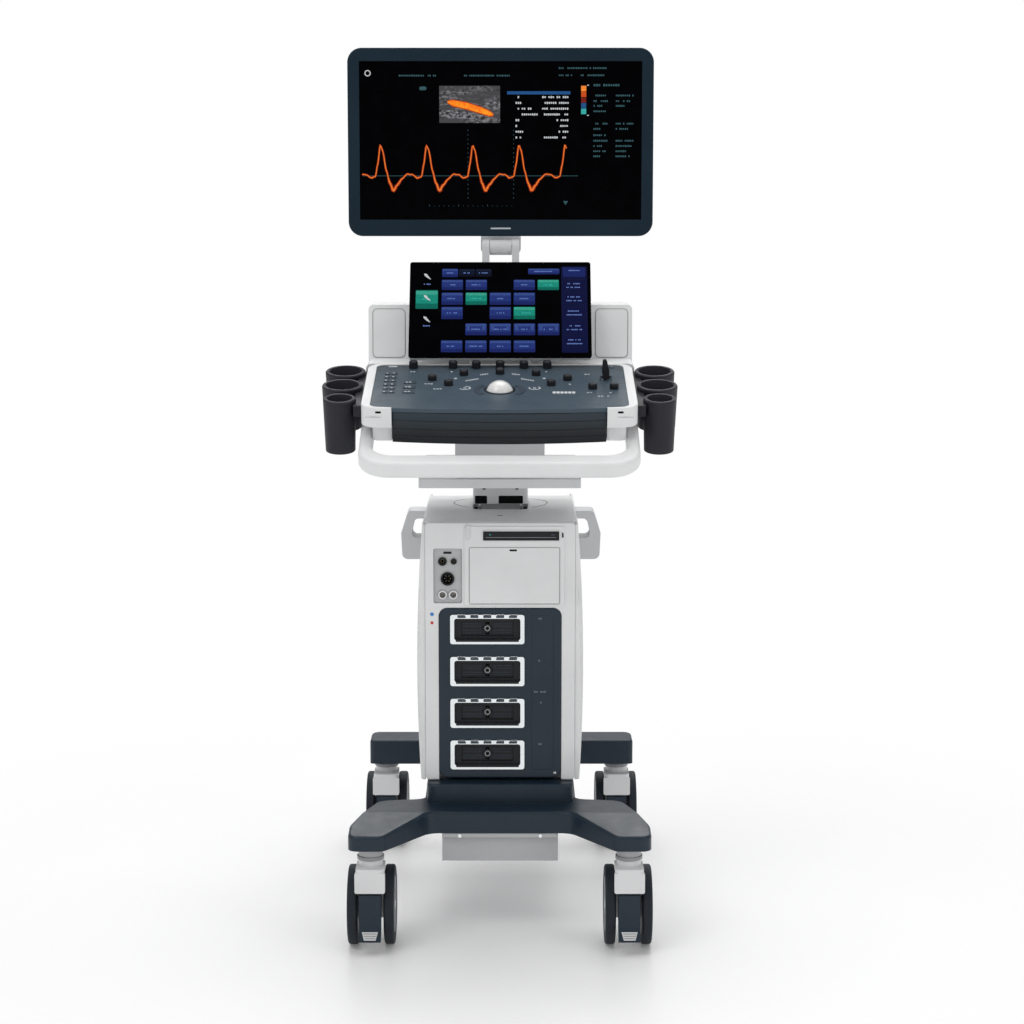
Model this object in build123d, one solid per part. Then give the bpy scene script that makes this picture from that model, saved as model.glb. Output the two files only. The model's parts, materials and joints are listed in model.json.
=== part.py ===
from build123d import *
import math
import os

os.makedirs("parts", exist_ok=True)

# Cart-mounted ultrasound scanner.  Millimetres, +Z up, the operator stands at -Y.
# The origin is on the floor, under the middle of the whole machine.

# ---- driving dimensions ----
WALL = 4.0                   # thickness of the moulded covers
RUN = 0.06                   # radial clearance of a shaft that turns in its bore

DECK_TOP = 200.0             # top of the base cover
DECK_BOTTOM = 165.0
REAR_FOOT_BOTTOM = 157.0
BASE_HALF = 235.0            # half the width of the base over its feet
FRONT_TOE = -336.0           # front end of the front feet
REAR_HEEL = 320.0            # back end of the rear feet
RISER_HALF = 118.0
RISER_TOP = 231.5
RISER_FRONT = -182.0
RISER_BACK = 232.0

WHEEL_RADIUS = 62.5
WHEEL_WIDTH = 16.0
WHEEL_INNER = 20.5           # from the caster's middle to the inner side of a wheel
AXLE_RADIUS = 5.0
TRAIL = 32.0                 # from the swivel axis back to the axle
STEM_RADIUS = 9.0
FORK_TOP = 146.0
CASTERS = {
    "front_left": (-201.0, -306.0),
    "front_right": (201.0, -306.0),
    "rear_left": (-207.0, 285.5),
    "rear_right": (207.0, 285.5),
}

TOWER_HALF = 120.0           # half the width of the front and rear covers
TOWER_BULGE = 133.5          # half the width over the side covers
TOWER_FRONT = -155.0
TOWER_BACK = 235.0
TOWER_BOTTOM = 232.0
TOWER_TOP = 652.0

PANEL_HALF = 98.0            # connector panel
PANEL_TOP = 514.0
PANEL_BOTTOM = 236.0
SOCKET_COUNT = 4
SOCKET_PITCH = 68.5
SOCKET_TOP_Z = 480.0
SOCKET_X = -20.5
SOCKET_WIDTH = 119.0
SOCKET_HEIGHT = 48.0
SOCKET_RIM = 6.5

DISC_X = (-27.0, 94.0)
DISC_Z = (623.5, 638.0)
PHYSIO_X = (-106.0, -61.0)
PHYSIO_Z = (522.0, 610.0)

COLUMN_Y = 25.0              # the lift column stands here
COLUMN_HALF = 38.0
FAN_Z = 480.0
FAN_RADIUS = 42.0

TILT = 12.0                  # slope of the control panel
CONSOLE = Location((0, -210, 875), (TILT, 0, 0))
BEZEL_HALF = 210.0
PANEL_BACK = 118.0           # console frame: back and front of the control panel
PANEL_FRONT = -112.0
PANEL_BOW = 12.0             # how far the front edge bows out at its middle
PLATE_HALF = 196.0
DRAWER_HALF = 162.0
BALL_RADIUS = 21.5
BALL_V = -22.0
BALL_W = -6.5                # the ball's centre lies this far below the panel
KNOB_RADIUS = 7.0
KNOBS = ((-138, 98), (-75, 98), (-38, 98), (0, 98), (38, 98), (75, 98))
KEYS = ((-57, 59), (57, 59), (-106, 32), (106, 32), (-80, 4.5), (80, 4.5), (144, -14), (177, -14), (0, 66))
LEVER = (166, 32)
LEVER_PIN_W = 4.5

CUP_X = 246.0
CUPS = ((96.0, 32.0, 68.0), (20.0, 32.0, 68.0), (-50.0, 25.5, 84.0))   # place, radius, height

HANDLE_HALF = 213.0
HANDLE_BAR = 20.0
HANDLE_SLOPE = 20.4

WING_HALF = 215.0
TOUCH_HALF = 146.5
TOUCH_LENGTH = 178.0
TOUCH_LEAN = 34.0
TOUCH_EDGE = (-111.0, 912.0)          # lower front edge of the touch screen, Y and Z
TOUCH_HINGE = (-92.0, 912.0)

ARM_Y = 120.0
ARM_LOW_Z = 965.0
ARM_HIGH_Z = 1080.0
MONITOR_HALF = 255.0
MONITOR_BOTTOM = 1098.5
MONITOR_TOP = 1409.5
MONITOR_FRONT = 115.0
MONITOR_HINGE = (168.0, 1250.0)


# ---- small helpers ----
def block(x, y, z):
    """A box between the (low, high) pairs x, y and z."""
    size = [high - low for low, high in (x, y, z)]
    middle = [(high + low) / 2 for low, high in (x, y, z)]
    return Pos(*middle) * Box(*size)


def ring_of(points):
    """A closed outline from (a, b, corner radius) points."""
    line = FilletPolyline([p[:2] for p in points], radius=[p[2] for p in points], close=True)
    return make_face(line)


def plan(points, z0, z1):
    """An outline in plan view, between two heights."""
    return extrude(Plane.XY.offset(z0) * ring_of(points), z1 - z0)


def section(points, x0, x1):
    """An outline seen from the side, in Y and Z, between two X values."""
    return extrude(Plane.YZ.offset(x0) * make_face(Polyline(points, close=True)), x1 - x0)


def elevation(points, y0, y1):
    """An outline seen from the front, in X and Z, between two Y values."""
    return extrude(Plane.XZ.offset(-y1) * ring_of(points), y1 - y0)


def rounded(x, y, z, radius, along):
    """A box with the four edges along one axis rounded."""
    part = block(x, y, z)
    return fillet(part.edges().filter_by(along), radius)


def rod(start, direction, radius, length):
    """A round bar from a start point."""
    return extrude(Plane(origin=start, z_dir=direction) * Circle(radius), length)


def save(name, part):
    """Write one sub-part, a solid or a list of separate solids."""
    shape = Compound(part) if isinstance(part, list) else part
    export_step(shape, f"parts/{name}.step")


# ---- base ----
def mirrored_ring(right):
    """Close a right-hand list of (x, y, radius) with its mirror image."""
    return right + [(-x, y, radius) for x, y, radius in reversed(right)]


def base_outline(inset):
    """The H-shaped plan of the base, drawn in by an inset."""
    d = inset
    right = [
        (112 - d / 2, -232 + d, 30),
        (180 + d / 2, FRONT_TOE + d, 14),
        (BASE_HALF - d, FRONT_TOE + d, 16),
        (BASE_HALF - d, -285, 40),
        (196 - d, -160 - d, 30),
        (122 - d, -148 - d, 18),
        (122 - d, 250 + d, 18),
        (BASE_HALF - d, 250 + d, 8),
        (BASE_HALF - d, REAR_HEEL - d, 16),
    ]
    return mirrored_ring(right)


def base_cover():
    deck = plan(base_outline(0), DECK_BOTTOM, DECK_TOP)
    heel = rounded((-BASE_HALF, BASE_HALF), (250, REAR_HEEL), (REAR_FOOT_BOTTOM, DECK_BOTTOM), 8, Axis.Z)
    toe_slope = section([(-236, DECK_TOP), (-345, 187), (-345, 210), (-236, 210)], -240, 240)
    body = deck - toe_slope
    rim = [e for e in body.edges() if e.bounding_box().min.Z > 186]
    body = fillet(rim, 5) + heel
    riser = rounded((-RISER_HALF, RISER_HALF), (RISER_FRONT, RISER_BACK),
                    (DECK_TOP - 6, RISER_TOP), 16, Axis.Z)
    riser = fillet(riser.faces().sort_by(Axis.Z)[-1].edges(), 5)
    hollow = plan(base_outline(WALL), REAR_FOOT_BOTTOM - 1, 183.5)
    well = block((-110, 110), (-172, 222), (180, RISER_TOP - WALL))
    mouth = block((-104, 104), (-140, 212), (RISER_TOP - 6, RISER_TOP + 1))
    return body + riser - hollow - well - mouth


def base_chassis():
    plate = plan(base_outline(10), 168, 183)
    boss_height = 183 - (FORK_TOP + 0.6)
    for x, y in CASTERS.values():
        plate += rod((x, y, FORK_TOP + 0.6), (0, 0, 1), 19, boss_height)
    for x, y in CASTERS.values():
        plate -= rod((x, y, FORK_TOP - 1), (0, 0, 1), STEM_RADIUS + RUN, 33)
    return plate


def base_pan():
    tray = block((-92, 92), (-224, 240), (118, 167.5))
    inside = block((-89, 89), (-221, 237), (121, 170))
    lip = block((-90, 90), (-231, -224), (158, 164.5))
    return tray - inside + lip


# ---- casters, made around their own swivel axis ----
def caster_fork():
    neck = rod((0, 0, 124), (0, 0, 1), 19, FORK_TOP - 124)
    stem = rod((0, 0, FORK_TOP), (0, 0, 1), STEM_RADIUS, 30)
    crown = rounded((-22, 22), (-34, 24), (126.5, 137), 8, Axis.Z)
    shield = rounded((-23.5, 23.5), (-34, -24), (99, 131), 3, Axis.Y)
    web_line = [(-26, 103), (-26, 131), (24, 131), (60, 100), (72, 62), (58, 46), (14, 46), (6, 96)]
    web = section(web_line, -19.5, 19.5)
    disc = rod((-25, TRAIL, WHEEL_RADIUS), (1, 0, 0), 59, 50)
    roof = block((-25, 25), (-40, 30), (100, 140))
    web = web & (disc + roof)
    axle_bore = rod((-30, TRAIL, WHEEL_RADIUS), (1, 0, 0), AXLE_RADIUS + RUN, 60)
    return neck + stem + crown + shield + web - axle_bore


def caster_wheel():
    """One wheel: a rounded tread and a dished hub."""
    half = WHEEL_WIDTH / 2
    tread = rod((WHEEL_INNER, TRAIL, WHEEL_RADIUS), (1, 0, 0), WHEEL_RADIUS, WHEEL_WIDTH)
    tread = fillet(tread.edges().filter_by(GeomType.CIRCLE), 4)
    dish = rod((WHEEL_INNER + WHEEL_WIDTH - 3, TRAIL, WHEEL_RADIUS), (1, 0, 0), 47, half)
    bore = rod((0, TRAIL, WHEEL_RADIUS), (1, 0, 0), AXLE_RADIUS, 60)
    return tread - dish - bore


def caster_wheels():
    axle = rod((-34, TRAIL, WHEEL_RADIUS), (1, 0, 0), AXLE_RADIUS, 68)
    return [caster_wheel(), mirror(caster_wheel(), about=Plane.YZ), axle]


def caster_pedal():
    """A foot brake that hangs in front of the web, between the wheels."""
    outline = [(-33, 96), (-20, 96), (-13, 84), (-14, 58), (-22, 36), (-36, 22), (-44, 24), (-33, 44)]
    return fillet(section(outline, -17, 17).edges().filter_by(Axis.X), 1.5)


# ---- tower ----
def side_arc(x_ends, x_middle):
    """The barrel line of a side cover, seen from the front."""
    return ThreePointArc((x_ends[0], TOWER_BOTTOM), (x_middle, 410), (x_ends[1], 648))


def side_slab(inner, x_ends, x_middle, y0, y1):
    """A slab between a flat inner face and the barrel line."""
    line = side_arc(x_ends, x_middle)
    rest = Polyline((x_ends[1], 648), (inner, 648), (inner, TOWER_BOTTOM), (x_ends[0], TOWER_BOTTOM))
    return extrude(Plane.XZ.offset(-y1) * make_face(line + rest), y1 - y0)


def tower_side_solid():
    """Outer form of the right side cover, before it is hollowed."""
    slab = side_slab(TOWER_HALF + 0.3, (128.0, 124.5), TOWER_BULGE, -151, 229)
    corners = [e for e in slab.edges() if e.center().X > TOWER_HALF + 3 and abs(e.center().Y - 39) > 185
               and e.length > 300]
    return fillet(corners, 7)


def tower_side_cover():
    hollow = side_slab(TOWER_HALF - 2, (124.5, 121.0), TOWER_BULGE - 3.5, -143, 221)
    return tower_side_solid() - hollow


def tower_front_cover():
    face = rounded((-TOWER_HALF, TOWER_HALF), (TOWER_FRONT, -147), (TOWER_BOTTOM, TOWER_TOP), 6, Axis.Y)
    face = fillet(face.faces().sort_by(Axis.Y)[0].edges(), 2.5)
    raised = rounded((-57, 103), (TOWER_FRONT - 1.6, TOWER_FRONT + 2), (518, 646), 4, Axis.Y)
    window = rounded((-PANEL_HALF - 0.5, PANEL_HALF + 0.5), (-160, -140),
                     (TOWER_BOTTOM - 20, PANEL_TOP + 0.5), 14, Axis.Y)
    disc_slot = block((DISC_X[0] - 0.5, DISC_X[1] + 0.5), (-160, -140),
                      (DISC_Z[0] - 0.5, DISC_Z[1] + 0.5))
    physio = rounded((PHYSIO_X[0] - 0.3, PHYSIO_X[1] + 0.3), (-160, -140),
                     (PHYSIO_Z[0] - 0.3, PHYSIO_Z[1] + 0.3), 3, Axis.Y)
    door = rounded((-50, 96), (TOWER_FRONT - 2, TOWER_FRONT - 0.8), (520, 613), 3, Axis.Y)
    return face + raised - window - disc_slot - physio - door


def connector_panel():
    panel = rounded((-PANEL_HALF, PANEL_HALF), (TOWER_FRONT - 2, -143),
                    (PANEL_BOTTOM, PANEL_TOP), 14, Axis.Y)
    panel = fillet(panel.faces().sort_by(Axis.Y)[0].edges(), 2)
    strip = rounded((50, 86), (TOWER_FRONT - 3, TOWER_FRONT - 1), (250, 503), 4, Axis.Y)
    panel -= strip
    for k in range(SOCKET_COUNT):
        z = SOCKET_TOP_Z - k * SOCKET_PITCH
        panel -= socket_block(0.0, z, -170, -140)
    return panel


def socket_block(inset, z, y0, y1):
    """A rounded block in the place of one probe socket."""
    half_x = SOCKET_WIDTH / 2 - inset
    half_z = SOCKET_HEIGHT / 2 - inset
    return rounded((SOCKET_X - half_x, SOCKET_X + half_x), (y0, y1), (z - half_z, z + half_z), 4, Axis.Y)


def socket_frame(z):
    """The bright rim of a probe socket, with teeth along its top."""
    rim = socket_block(0.1, z, TOWER_FRONT - 5, -120) - socket_block(SOCKET_RIM, z, -170, -110)
    for i in range(5):
        x = SOCKET_X - 42 + i * 21
        rim -= block((x - 6, x + 6), (-170, TOWER_FRONT), (z + SOCKET_HEIGHT / 2 - 3, z + SOCKET_HEIGHT))
    return rim


def socket_insert(z):
    """The dark contact block behind a rim, with a slot for the probe's lock."""
    core = socket_block(SOCKET_RIM + 0.1, z, TOWER_FRONT + 3, -118)
    window = block((SOCKET_X - 42, SOCKET_X + 42), (-170, TOWER_FRONT + 7), (z - 12, z + 12))
    slot = block((SOCKET_X - 3, SOCKET_X + 3), (-170, TOWER_FRONT + 22), (z - 10, z + 10))
    bar = block((SOCKET_X - 8, SOCKET_X + 8), (-170, TOWER_FRONT + 12), (z - 2.5, z + 2.5))
    return core - window - slot - bar


def sockets(maker):
    return [maker(SOCKET_TOP_Z - k * SOCKET_PITCH) for k in range(SOCKET_COUNT)]


def physio_module():
    """The small panel of patient-lead jacks."""
    body = rounded(PHYSIO_X, (-151, -134), PHYSIO_Z, 2.5, Axis.Y)
    jacks = ((-92, 589, 5.5), (-74, 589, 3.4), (-84, 561, 9.5), (-92, 535, 6.0), (-75, 535, 6.0))
    for x, z, radius in jacks:
        body += rod((x, -153.5, z), (0, 1, 0), radius + 1.2, 4)
        body -= rod((x, -154, z), (0, 1, 0), radius, 14)
    return body


def disc_drive():
    shell = block((DISC_X[0] - 5, DISC_X[1] + 5), (-146.5, -24), (618, 640.8))
    bay = block((DISC_X[0] - 0.5, DISC_X[1] + 0.5), (-150, -28), (DISC_Z[0] - 0.5, DISC_Z[1] + 0.5))
    return shell - bay


def disc_tray():
    face = rounded((DISC_X[0], DISC_X[1]), (TOWER_FRONT - 2.5, -149), (DISC_Z[0], DISC_Z[1]), 2, Axis.Y)
    carrier = block((DISC_X[0] + 1, DISC_X[1] - 1), (-149, -32), (DISC_Z[0] + 1, DISC_Z[0] + 6))
    disc_well = rod((33.5, -92, DISC_Z[0] + 3), (0, 0, 1), 50, 10)
    return face + carrier - disc_well


def tower_rear_cover():
    back = rounded((-TOWER_HALF, TOWER_HALF), (225, TOWER_BACK), (TOWER_BOTTOM, 640), 10, Axis.Y)
    back -= block((-TOWER_HALF + WALL, TOWER_HALF - WALL), (220, TOWER_BACK - WALL),
                  (TOWER_BOTTOM + WALL, 630))
    for i in range(9):
        z = 300 + i * 13
        back -= block((-70, 70), (220, 240), (z, z + 5))
    guard = rod((0, 215, FAN_Z), (0, 1, 0), FAN_RADIUS + 5, TOWER_BACK - 215.5)
    guard -= rod((0, 210, FAN_Z), (0, 1, 0), FAN_RADIUS + 2, 40)
    back -= rod((0, 210, FAN_Z), (0, 1, 0), FAN_RADIUS + 2, 40)
    spokes = block((-FAN_RADIUS - 4, FAN_RADIUS + 4), (231, 234.5), (FAN_Z - 2, FAN_Z + 2))
    spokes += block((-2, 2), (231, 234.5), (FAN_Z - FAN_RADIUS - 4, FAN_Z + FAN_RADIUS + 4))
    hub = rod((0, 229, FAN_Z), (0, 1, 0), 13, 5.5)
    pin = rod((0, 205, FAN_Z), (0, 1, 0), 4, 25)
    return back + guard + spokes + hub + pin


def cooling_fan():
    hub = rod((0, 208, FAN_Z), (0, 1, 0), 15, 19)
    blade = block((-1.2, 1.2), (210, 225), (0, FAN_RADIUS))
    blade = Rot(0, 0, 28) * (Pos(0, -217.5, 0) * blade)
    blade = Pos(0, 217.5, 0) * blade
    for k in range(7):
        hub += Pos(0, 0, FAN_Z) * (Rot(0, k * 360 / 7, 0) * blade)
    limit = rod((0, 200, FAN_Z), (0, 1, 0), FAN_RADIUS, 40)
    bore = rod((0, 200, FAN_Z), (0, 1, 0), 4 + RUN, 40)
    return (hub & limit) - bore


def tower_top_cover():
    """The crowned lid of the tower, with a well round the lift column."""
    front, back = TOWER_FRONT + 8.2, TOWER_BACK - 10.2
    crown = ThreePointArc((front, 653), (20, 660), (back, 645))
    sides = Polyline((back, 645), (back, 641), (front, 641), (front, 653))
    lid = extrude(Plane.YZ.offset(-TOWER_HALF) * make_face(crown + sides), 2 * TOWER_HALF)
    well = rounded((-45, 45), (-52, 78), (600, 700), 10, Axis.Z)
    return lid - well


def tower_frame():
    """Welded frame that carries the covers, the electronics and the column."""
    frame = block((-102, 102), (-136, 205), (183.1, 188))
    for x in (-92, 92):
        for y in (-124, 195):
            frame += block((x - 9, x + 9), (y - 9, y + 9), (183.1, 610))
    for y in (-124, 195):
        frame += block((-92, 92), (y - 8, y + 8), (594, 610))
    for x in (-92, 92):
        frame += block((x - 8, x + 8), (-124, 195), (594, 610))
    return frame


def electronics_box():
    case = block((-80, 80), (-112, -20), (190, 516))
    for i in range(10):
        z = 230 + i * 26
        case -= block((-81, -76), (-100, -32), (z, z + 10))
    return case


def power_supply():
    case = block((-80, 80), (72, 180), (188.2, 330))
    inlet = block((-14, 14), (170, 183), (205, 225))
    return case - inlet


def side_hook():
    """A cable hook on the right side of the tower."""
    outer_line = [(118, 551, 3), (168, 551, 10), (170, 596, 8), (158, 634, 8), (118, 634, 3)]
    outer = elevation(outer_line, 108, 162)
    throat = elevation([(110, 588, 2), (154, 588, 8), (146, 621, 8), (110, 621, 2)], 100, 170)
    return outer - throat - side_slab(TOWER_HALF - 20, (128.0, 124.5), TOWER_BULGE, -160, 240)


def column_outer():
    y0, y1 = COLUMN_Y - COLUMN_HALF, COLUMN_Y + COLUMN_HALF
    tube = rounded((-COLUMN_HALF, COLUMN_HALF), (y0, y1), (188.1, 652), 8, Axis.Z)
    inside = rounded((-COLUMN_HALF + 5, COLUMN_HALF - 5), (y0 + 5, y1 - 5), (193, 700), 5, Axis.Z)
    return tube - inside


def column_inner():
    y0, y1 = COLUMN_Y - COLUMN_HALF + 5.5, COLUMN_Y + COLUMN_HALF - 5.5
    post = rounded((-COLUMN_HALF + 5.5, COLUMN_HALF - 5.5), (y0, y1), (300, 713), 5, Axis.Z)
    post -= block((-COLUMN_HALF + 10, COLUMN_HALF - 10), (y0 + 4.5, y1 - 4.5), (290, 700))
    flange = block((-40, 40), (-15, 65), (712, 718))
    pivot = rod((0, COLUMN_Y, 717), (0, 0, 1), 15, 20)
    return post + flange + pivot


def neck_cover():
    """Sleeve over the top of the lift column."""
    sleeve = rounded((-45, 45), (-22, 72), (664, 718), 5, Axis.Z)
    return sleeve - block((-40.5, 40.5), (-15.5, 65.5), (660, 720))


def pan_screws():
    """Screws in the front lip of the pan under the base."""
    screws = []
    for x in (-64, 64):
        screws.append(rod((x, -233.5, 161), (0, 1, 0), 3, 2.4))
    return screws


# ---- console, in the sloping frame of the control panel ----
def bowed_plan(half, back, front, bow, corner, z0, z1):
    """A plate in plan whose front edge bows outwards."""
    front_line = ThreePointArc((-half, front), (0, front - bow), (half, front))
    rest = Polyline((half, front), (half, back), (-half, back), (-half, front))
    plate = extrude(Plane.XY.offset(z0) * make_face(front_line + rest), z1 - z0)
    return fillet(plate.edges().filter_by(Axis.Z), corner)


def control_plate():
    """Control panel with the trackball's cup, the knobs' bores and the lever's two ears."""
    plate = bowed_plan(PLATE_HALF, PANEL_BACK - 6, PANEL_FRONT, PANEL_BOW, 14, -6, 0)
    floor = BALL_W - BALL_RADIUS - 0.4
    plate += rod((0, BALL_V, floor - 2.6), (0, 0, 1), 26.5, 2.6 - floor)
    plate += rod((0, BALL_V, 0), (0, 0, 1), 25, 1)
    plate -= rod((0, BALL_V, floor), (0, 0, 1), BALL_RADIUS + 0.4, -1.5 - floor)
    plate -= rod((0, BALL_V, -3), (0, 0, 1), BALL_RADIUS - 0.2, 6)
    for x, v in KNOBS:
        plate -= rod((x, v, -10), (0, 0, 1), 3 + RUN, 20)
    x, v = LEVER
    for side in (-1, 1):
        ear = section([(v - 5, -1), (v + 5, -1), (v + 2.8, 7.5), (v - 2.8, 7.5)], x - 1.2, x + 1.2)
        plate += Pos(side * 8.2, 0, 0) * ear
    plate -= rod((x - 20, v, LEVER_PIN_W), (1, 0, 0), 2 + RUN, 40)
    return plate


def menu_knob(x, v):
    """A turning knob with a shaft through the panel."""
    cap = rod((x, v, 0.5), (0, 0, 1), KNOB_RADIUS, 11)
    cap = fillet(cap.edges().filter_by(GeomType.CIRCLE).sort_by(Axis.Z)[-1:], 2)
    for k in range(12):
        angle = math.radians(k * 30)
        flute = (x + 7.4 * math.cos(angle), v + 7.4 * math.sin(angle), 2)
        cap -= rod(flute, (0, 0, 1), 0.9, 12)
    return cap + rod((x, v, -5.8), (0, 0, 1), 3, 7)


def round_key(x, v):
    """A domed round key."""
    key = rod((x, v, 0), (0, 0, 1), 7, 9)
    return fillet(key.edges().filter_by(GeomType.CIRCLE).sort_by(Axis.Z)[-1:], 3)


def paddle_lever():
    """A leaning, leaf-shaped lever on a cross pin."""
    x, v = LEVER
    leaf = [(-4, 1, 1), (5, 1, 1), (5.5, 14, 10), (1, 33, 2.5), (-5, 33, 2.5), (-6.5, 14, 10)]
    blade = Pos(x, 0, 0) * elevation(leaf, v - 3, v + 3)
    return blade + rod((x - 9.4, v, LEVER_PIN_W), (1, 0, 0), 2, 18.8)


def trackball():
    return Pos(0, BALL_V, BALL_W) * Sphere(BALL_RADIUS)


def console_bezel():
    """White frame round the control panel, open at the front over the drawer."""
    outer = bowed_plan(BEZEL_HALF, PANEL_BACK, PANEL_FRONT - 6, 5, 26, -30, 1.5)
    outer = fillet(outer.faces().sort_by(Axis.Z)[-1].edges(), 1.4)
    seat = bowed_plan(PLATE_HALF + 0.3, PANEL_BACK - 5.7, PANEL_FRONT - 0.3, PANEL_BOW, 14, -6.1, 10)
    inside = block((-DRAWER_HALF - 18, DRAWER_HALF + 18), (-95, PANEL_BACK - 20), (-40, 10))
    front_gap = block((-DRAWER_HALF - 1, DRAWER_HALF + 1), (-150, -90), (-40, 10))
    return outer - seat - inside - front_gap


def console_base():
    """Lower pan of the console, which guides the keyboard drawer."""
    pan = rounded((-193, 193), (PANEL_FRONT + 4, PANEL_BACK), (-54, -30), 10, Axis.Z)
    bay = block((-DRAWER_HALF - 1, DRAWER_HALF + 1), (-150, 44), (-51, 0))
    rear = block((-150, 150), (46, PANEL_BACK - WALL), (-50, 0))
    return pan - bay - rear


def keyboard_drawer():
    fascia = bowed_plan(DRAWER_HALF, -108.4, PANEL_FRONT - 2, PANEL_BOW, 0.8, -54, -6.6)
    for z in (-20, -33, -44):
        groove = bowed_plan(DRAWER_HALF + 2, -160, PANEL_FRONT - 1, PANEL_BOW, 0.5, z, z + 1.6)
        fascia -= groove
    tray = block((-DRAWER_HALF + 4, DRAWER_HALF - 4), (-109, 40), (-50.5, -42))
    return fascia + tray


def keyboard_keys():
    keys = []
    for row in range(4):
        for column in range(14):
            x = -132.5 + column * 19 + row * 1.5
            v = 18 - row * 21
            keys.append(block((x, x + 16.5), (v - 16, v), (-42, -36.5)))
    return keys


def front_handle():
    """Loop handle round the front of the console, sloping up to its sides."""
    reach = 208
    half, bar = HANDLE_HALF, HANDLE_BAR
    outer = plan([(-half, -17, 48), (half, -17, 48), (half, reach, 3), (-half, reach, 3)], -13, 13)
    gap = half - bar
    inner = plan([(-gap, 16, 34), (gap, 16, 34), (gap, reach + 20, 3), (-gap, reach + 20, 3)], -20, 20)
    loop = outer - inner
    rims = [e for e in loop.edges() if abs(abs(e.center().Z) - 13) < 0.1]
    loop = fillet([e for e in rims if e.center().Y < reach - 1], 7)
    return Location((0, -361.54, 767), (HANDLE_SLOPE, 0, 0)) * loop


def probe_cup(v, radius, height):
    """One cup of a probe holder, slightly tapered, with a drain hole."""
    x = CUP_X
    outer = loft([Pos(x, v, -5) * Circle(radius), Pos(x, v, -5 - height) * Circle(radius - 2.5)])
    return fillet(outer.edges().filter_by(GeomType.CIRCLE), 1.5)


def cup_hollow(v, radius, height):
    inside = rod((CUP_X, v, -height + 1), (0, 0, 1), radius - 4.5, height + 10)
    drain = rod((CUP_X, v, -height - 10), (0, 0, 1), radius / 3, 20)
    return inside + drain


def probe_holder():
    """Three cups and the rail that hangs them on the side of the console."""
    rail = rounded((BEZEL_HALF + 0.2, 224), (-70, 116), (-29, -11), 3, Axis.X)
    holder = rail
    for v, radius, height in CUPS:
        holder += probe_cup(v, radius, height)
    for v, radius, height in CUPS:
        holder -= cup_hollow(v, radius, height)
    return holder


# ---- housing behind the touch screen ----
def console_line(w):
    """A point just behind the console's back face, w below the panel."""
    slope = math.radians(TILT)
    reach = PANEL_BACK + 0.3
    y = -210 + reach * math.cos(slope) - w * math.sin(slope)
    z = 875 + reach * math.sin(slope) + w * math.cos(slope)
    return (y, z)


def console_wings():
    """White housing across the back of the console, which carries the arm."""
    top_front = console_line(1.0)
    low_front = console_line(-54.0)
    outline = [top_front, low_front, (20, low_front[1]), (78, 868), (78, 960), (62, 991),
               (-24, 991), (-28, 904)]
    housing = section(outline, -WING_HALF, WING_HALF)
    ends = [e for e in housing.edges() if abs(abs(e.center().X) - WING_HALF) < 0.1]
    upper = [e for e in ends if e.center().Z > 902]
    housing = fillet(upper, 9)
    inner = [(-84, 850), (-20, 850), (20, 850), (72, 872), (72, 955), (58, 985),
             (-18, 985), (-22, 894), (-84, 894)]
    housing -= section(inner, -WING_HALF + WALL, WING_HALF - WALL)
    housing -= block((-120, 120), (-60, 10), (800, 860))
    shelf = rounded((-55, 55), (74, 165), (866, 892), 12, Axis.Z)
    shelf -= rod((0, ARM_Y, 860), (0, 0, 1), 10 + RUN, 40)
    housing += shelf
    for side in (-1, 1):
        x = side * 46
        y, z = TOUCH_HINGE
        housing += rod((x - 4, y, z), (1, 0, 0), 6, 8)
        housing += section([(y, z + 4), (y + 14, 902), (y + 14, 900), (y, 901)], x - 4, x + 4)
        housing -= rod((x - 5, y, z), (1, 0, 0), 3 + RUN, 10)
    return housing


def console_bracket():
    """Plate and pedestal that join the console to the lift."""
    plate = rounded((-126, 126), (-245, 84), (719, 733), 6, Axis.Z)
    slope = math.tan(math.radians(TILT))
    under = 875 - 54.2 / math.cos(math.radians(TILT))
    front, back = -200.0, -100.0
    pedestal = section([(front, 730), (back, 730), (back, under + (back + 210) * slope),
                        (front, under + (front + 210) * slope)], -70, 70)
    pedestal -= block((-64, 64), (front + 6, back - 6), (738, 900))
    spine_top = console_line(-54.0)[1] - 0.2
    spine = block((-60, 60), (-78, 20), (730, spine_top))
    bore = rod((0, COLUMN_Y, 700), (0, 0, 1), 15 + RUN, 40)
    return plate + pedestal + spine - bore


# ---- touch screen, drawn upright and then leaned back ----
def lean(part):
    """Put a part drawn on the XZ plane on the leaning face of the touch screen."""
    return Location((0, TOUCH_EDGE[0], TOUCH_EDGE[1]), (-TOUCH_LEAN, 0, 0)) * part


def touch_glass():
    glass = rounded((-TOUCH_HALF, TOUCH_HALF), (0, 3), (0, TOUCH_LENGTH), 4, Axis.Y)
    return lean(glass)


def touch_housing():
    half = TOUCH_HALF - 0.5
    shell = rounded((-half, half), (3.1, 13), (0.5, TOUCH_LENGTH - 0.5), 4, Axis.Y)
    shell = fillet(shell.faces().sort_by(Axis.Y)[-1].edges(), 3)
    shell = lean(shell)
    y, z = TOUCH_HINGE
    for side in (-1, 1):
        shell -= rod((side * 46 - 4.6, y, z), (1, 0, 0), 7, 9.2)
    barrel = rod((-41, y, z), (1, 0, 0), 6, 82)
    pin = rod((-52, y, z), (1, 0, 0), 3, 104)
    return shell + barrel + pin


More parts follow.
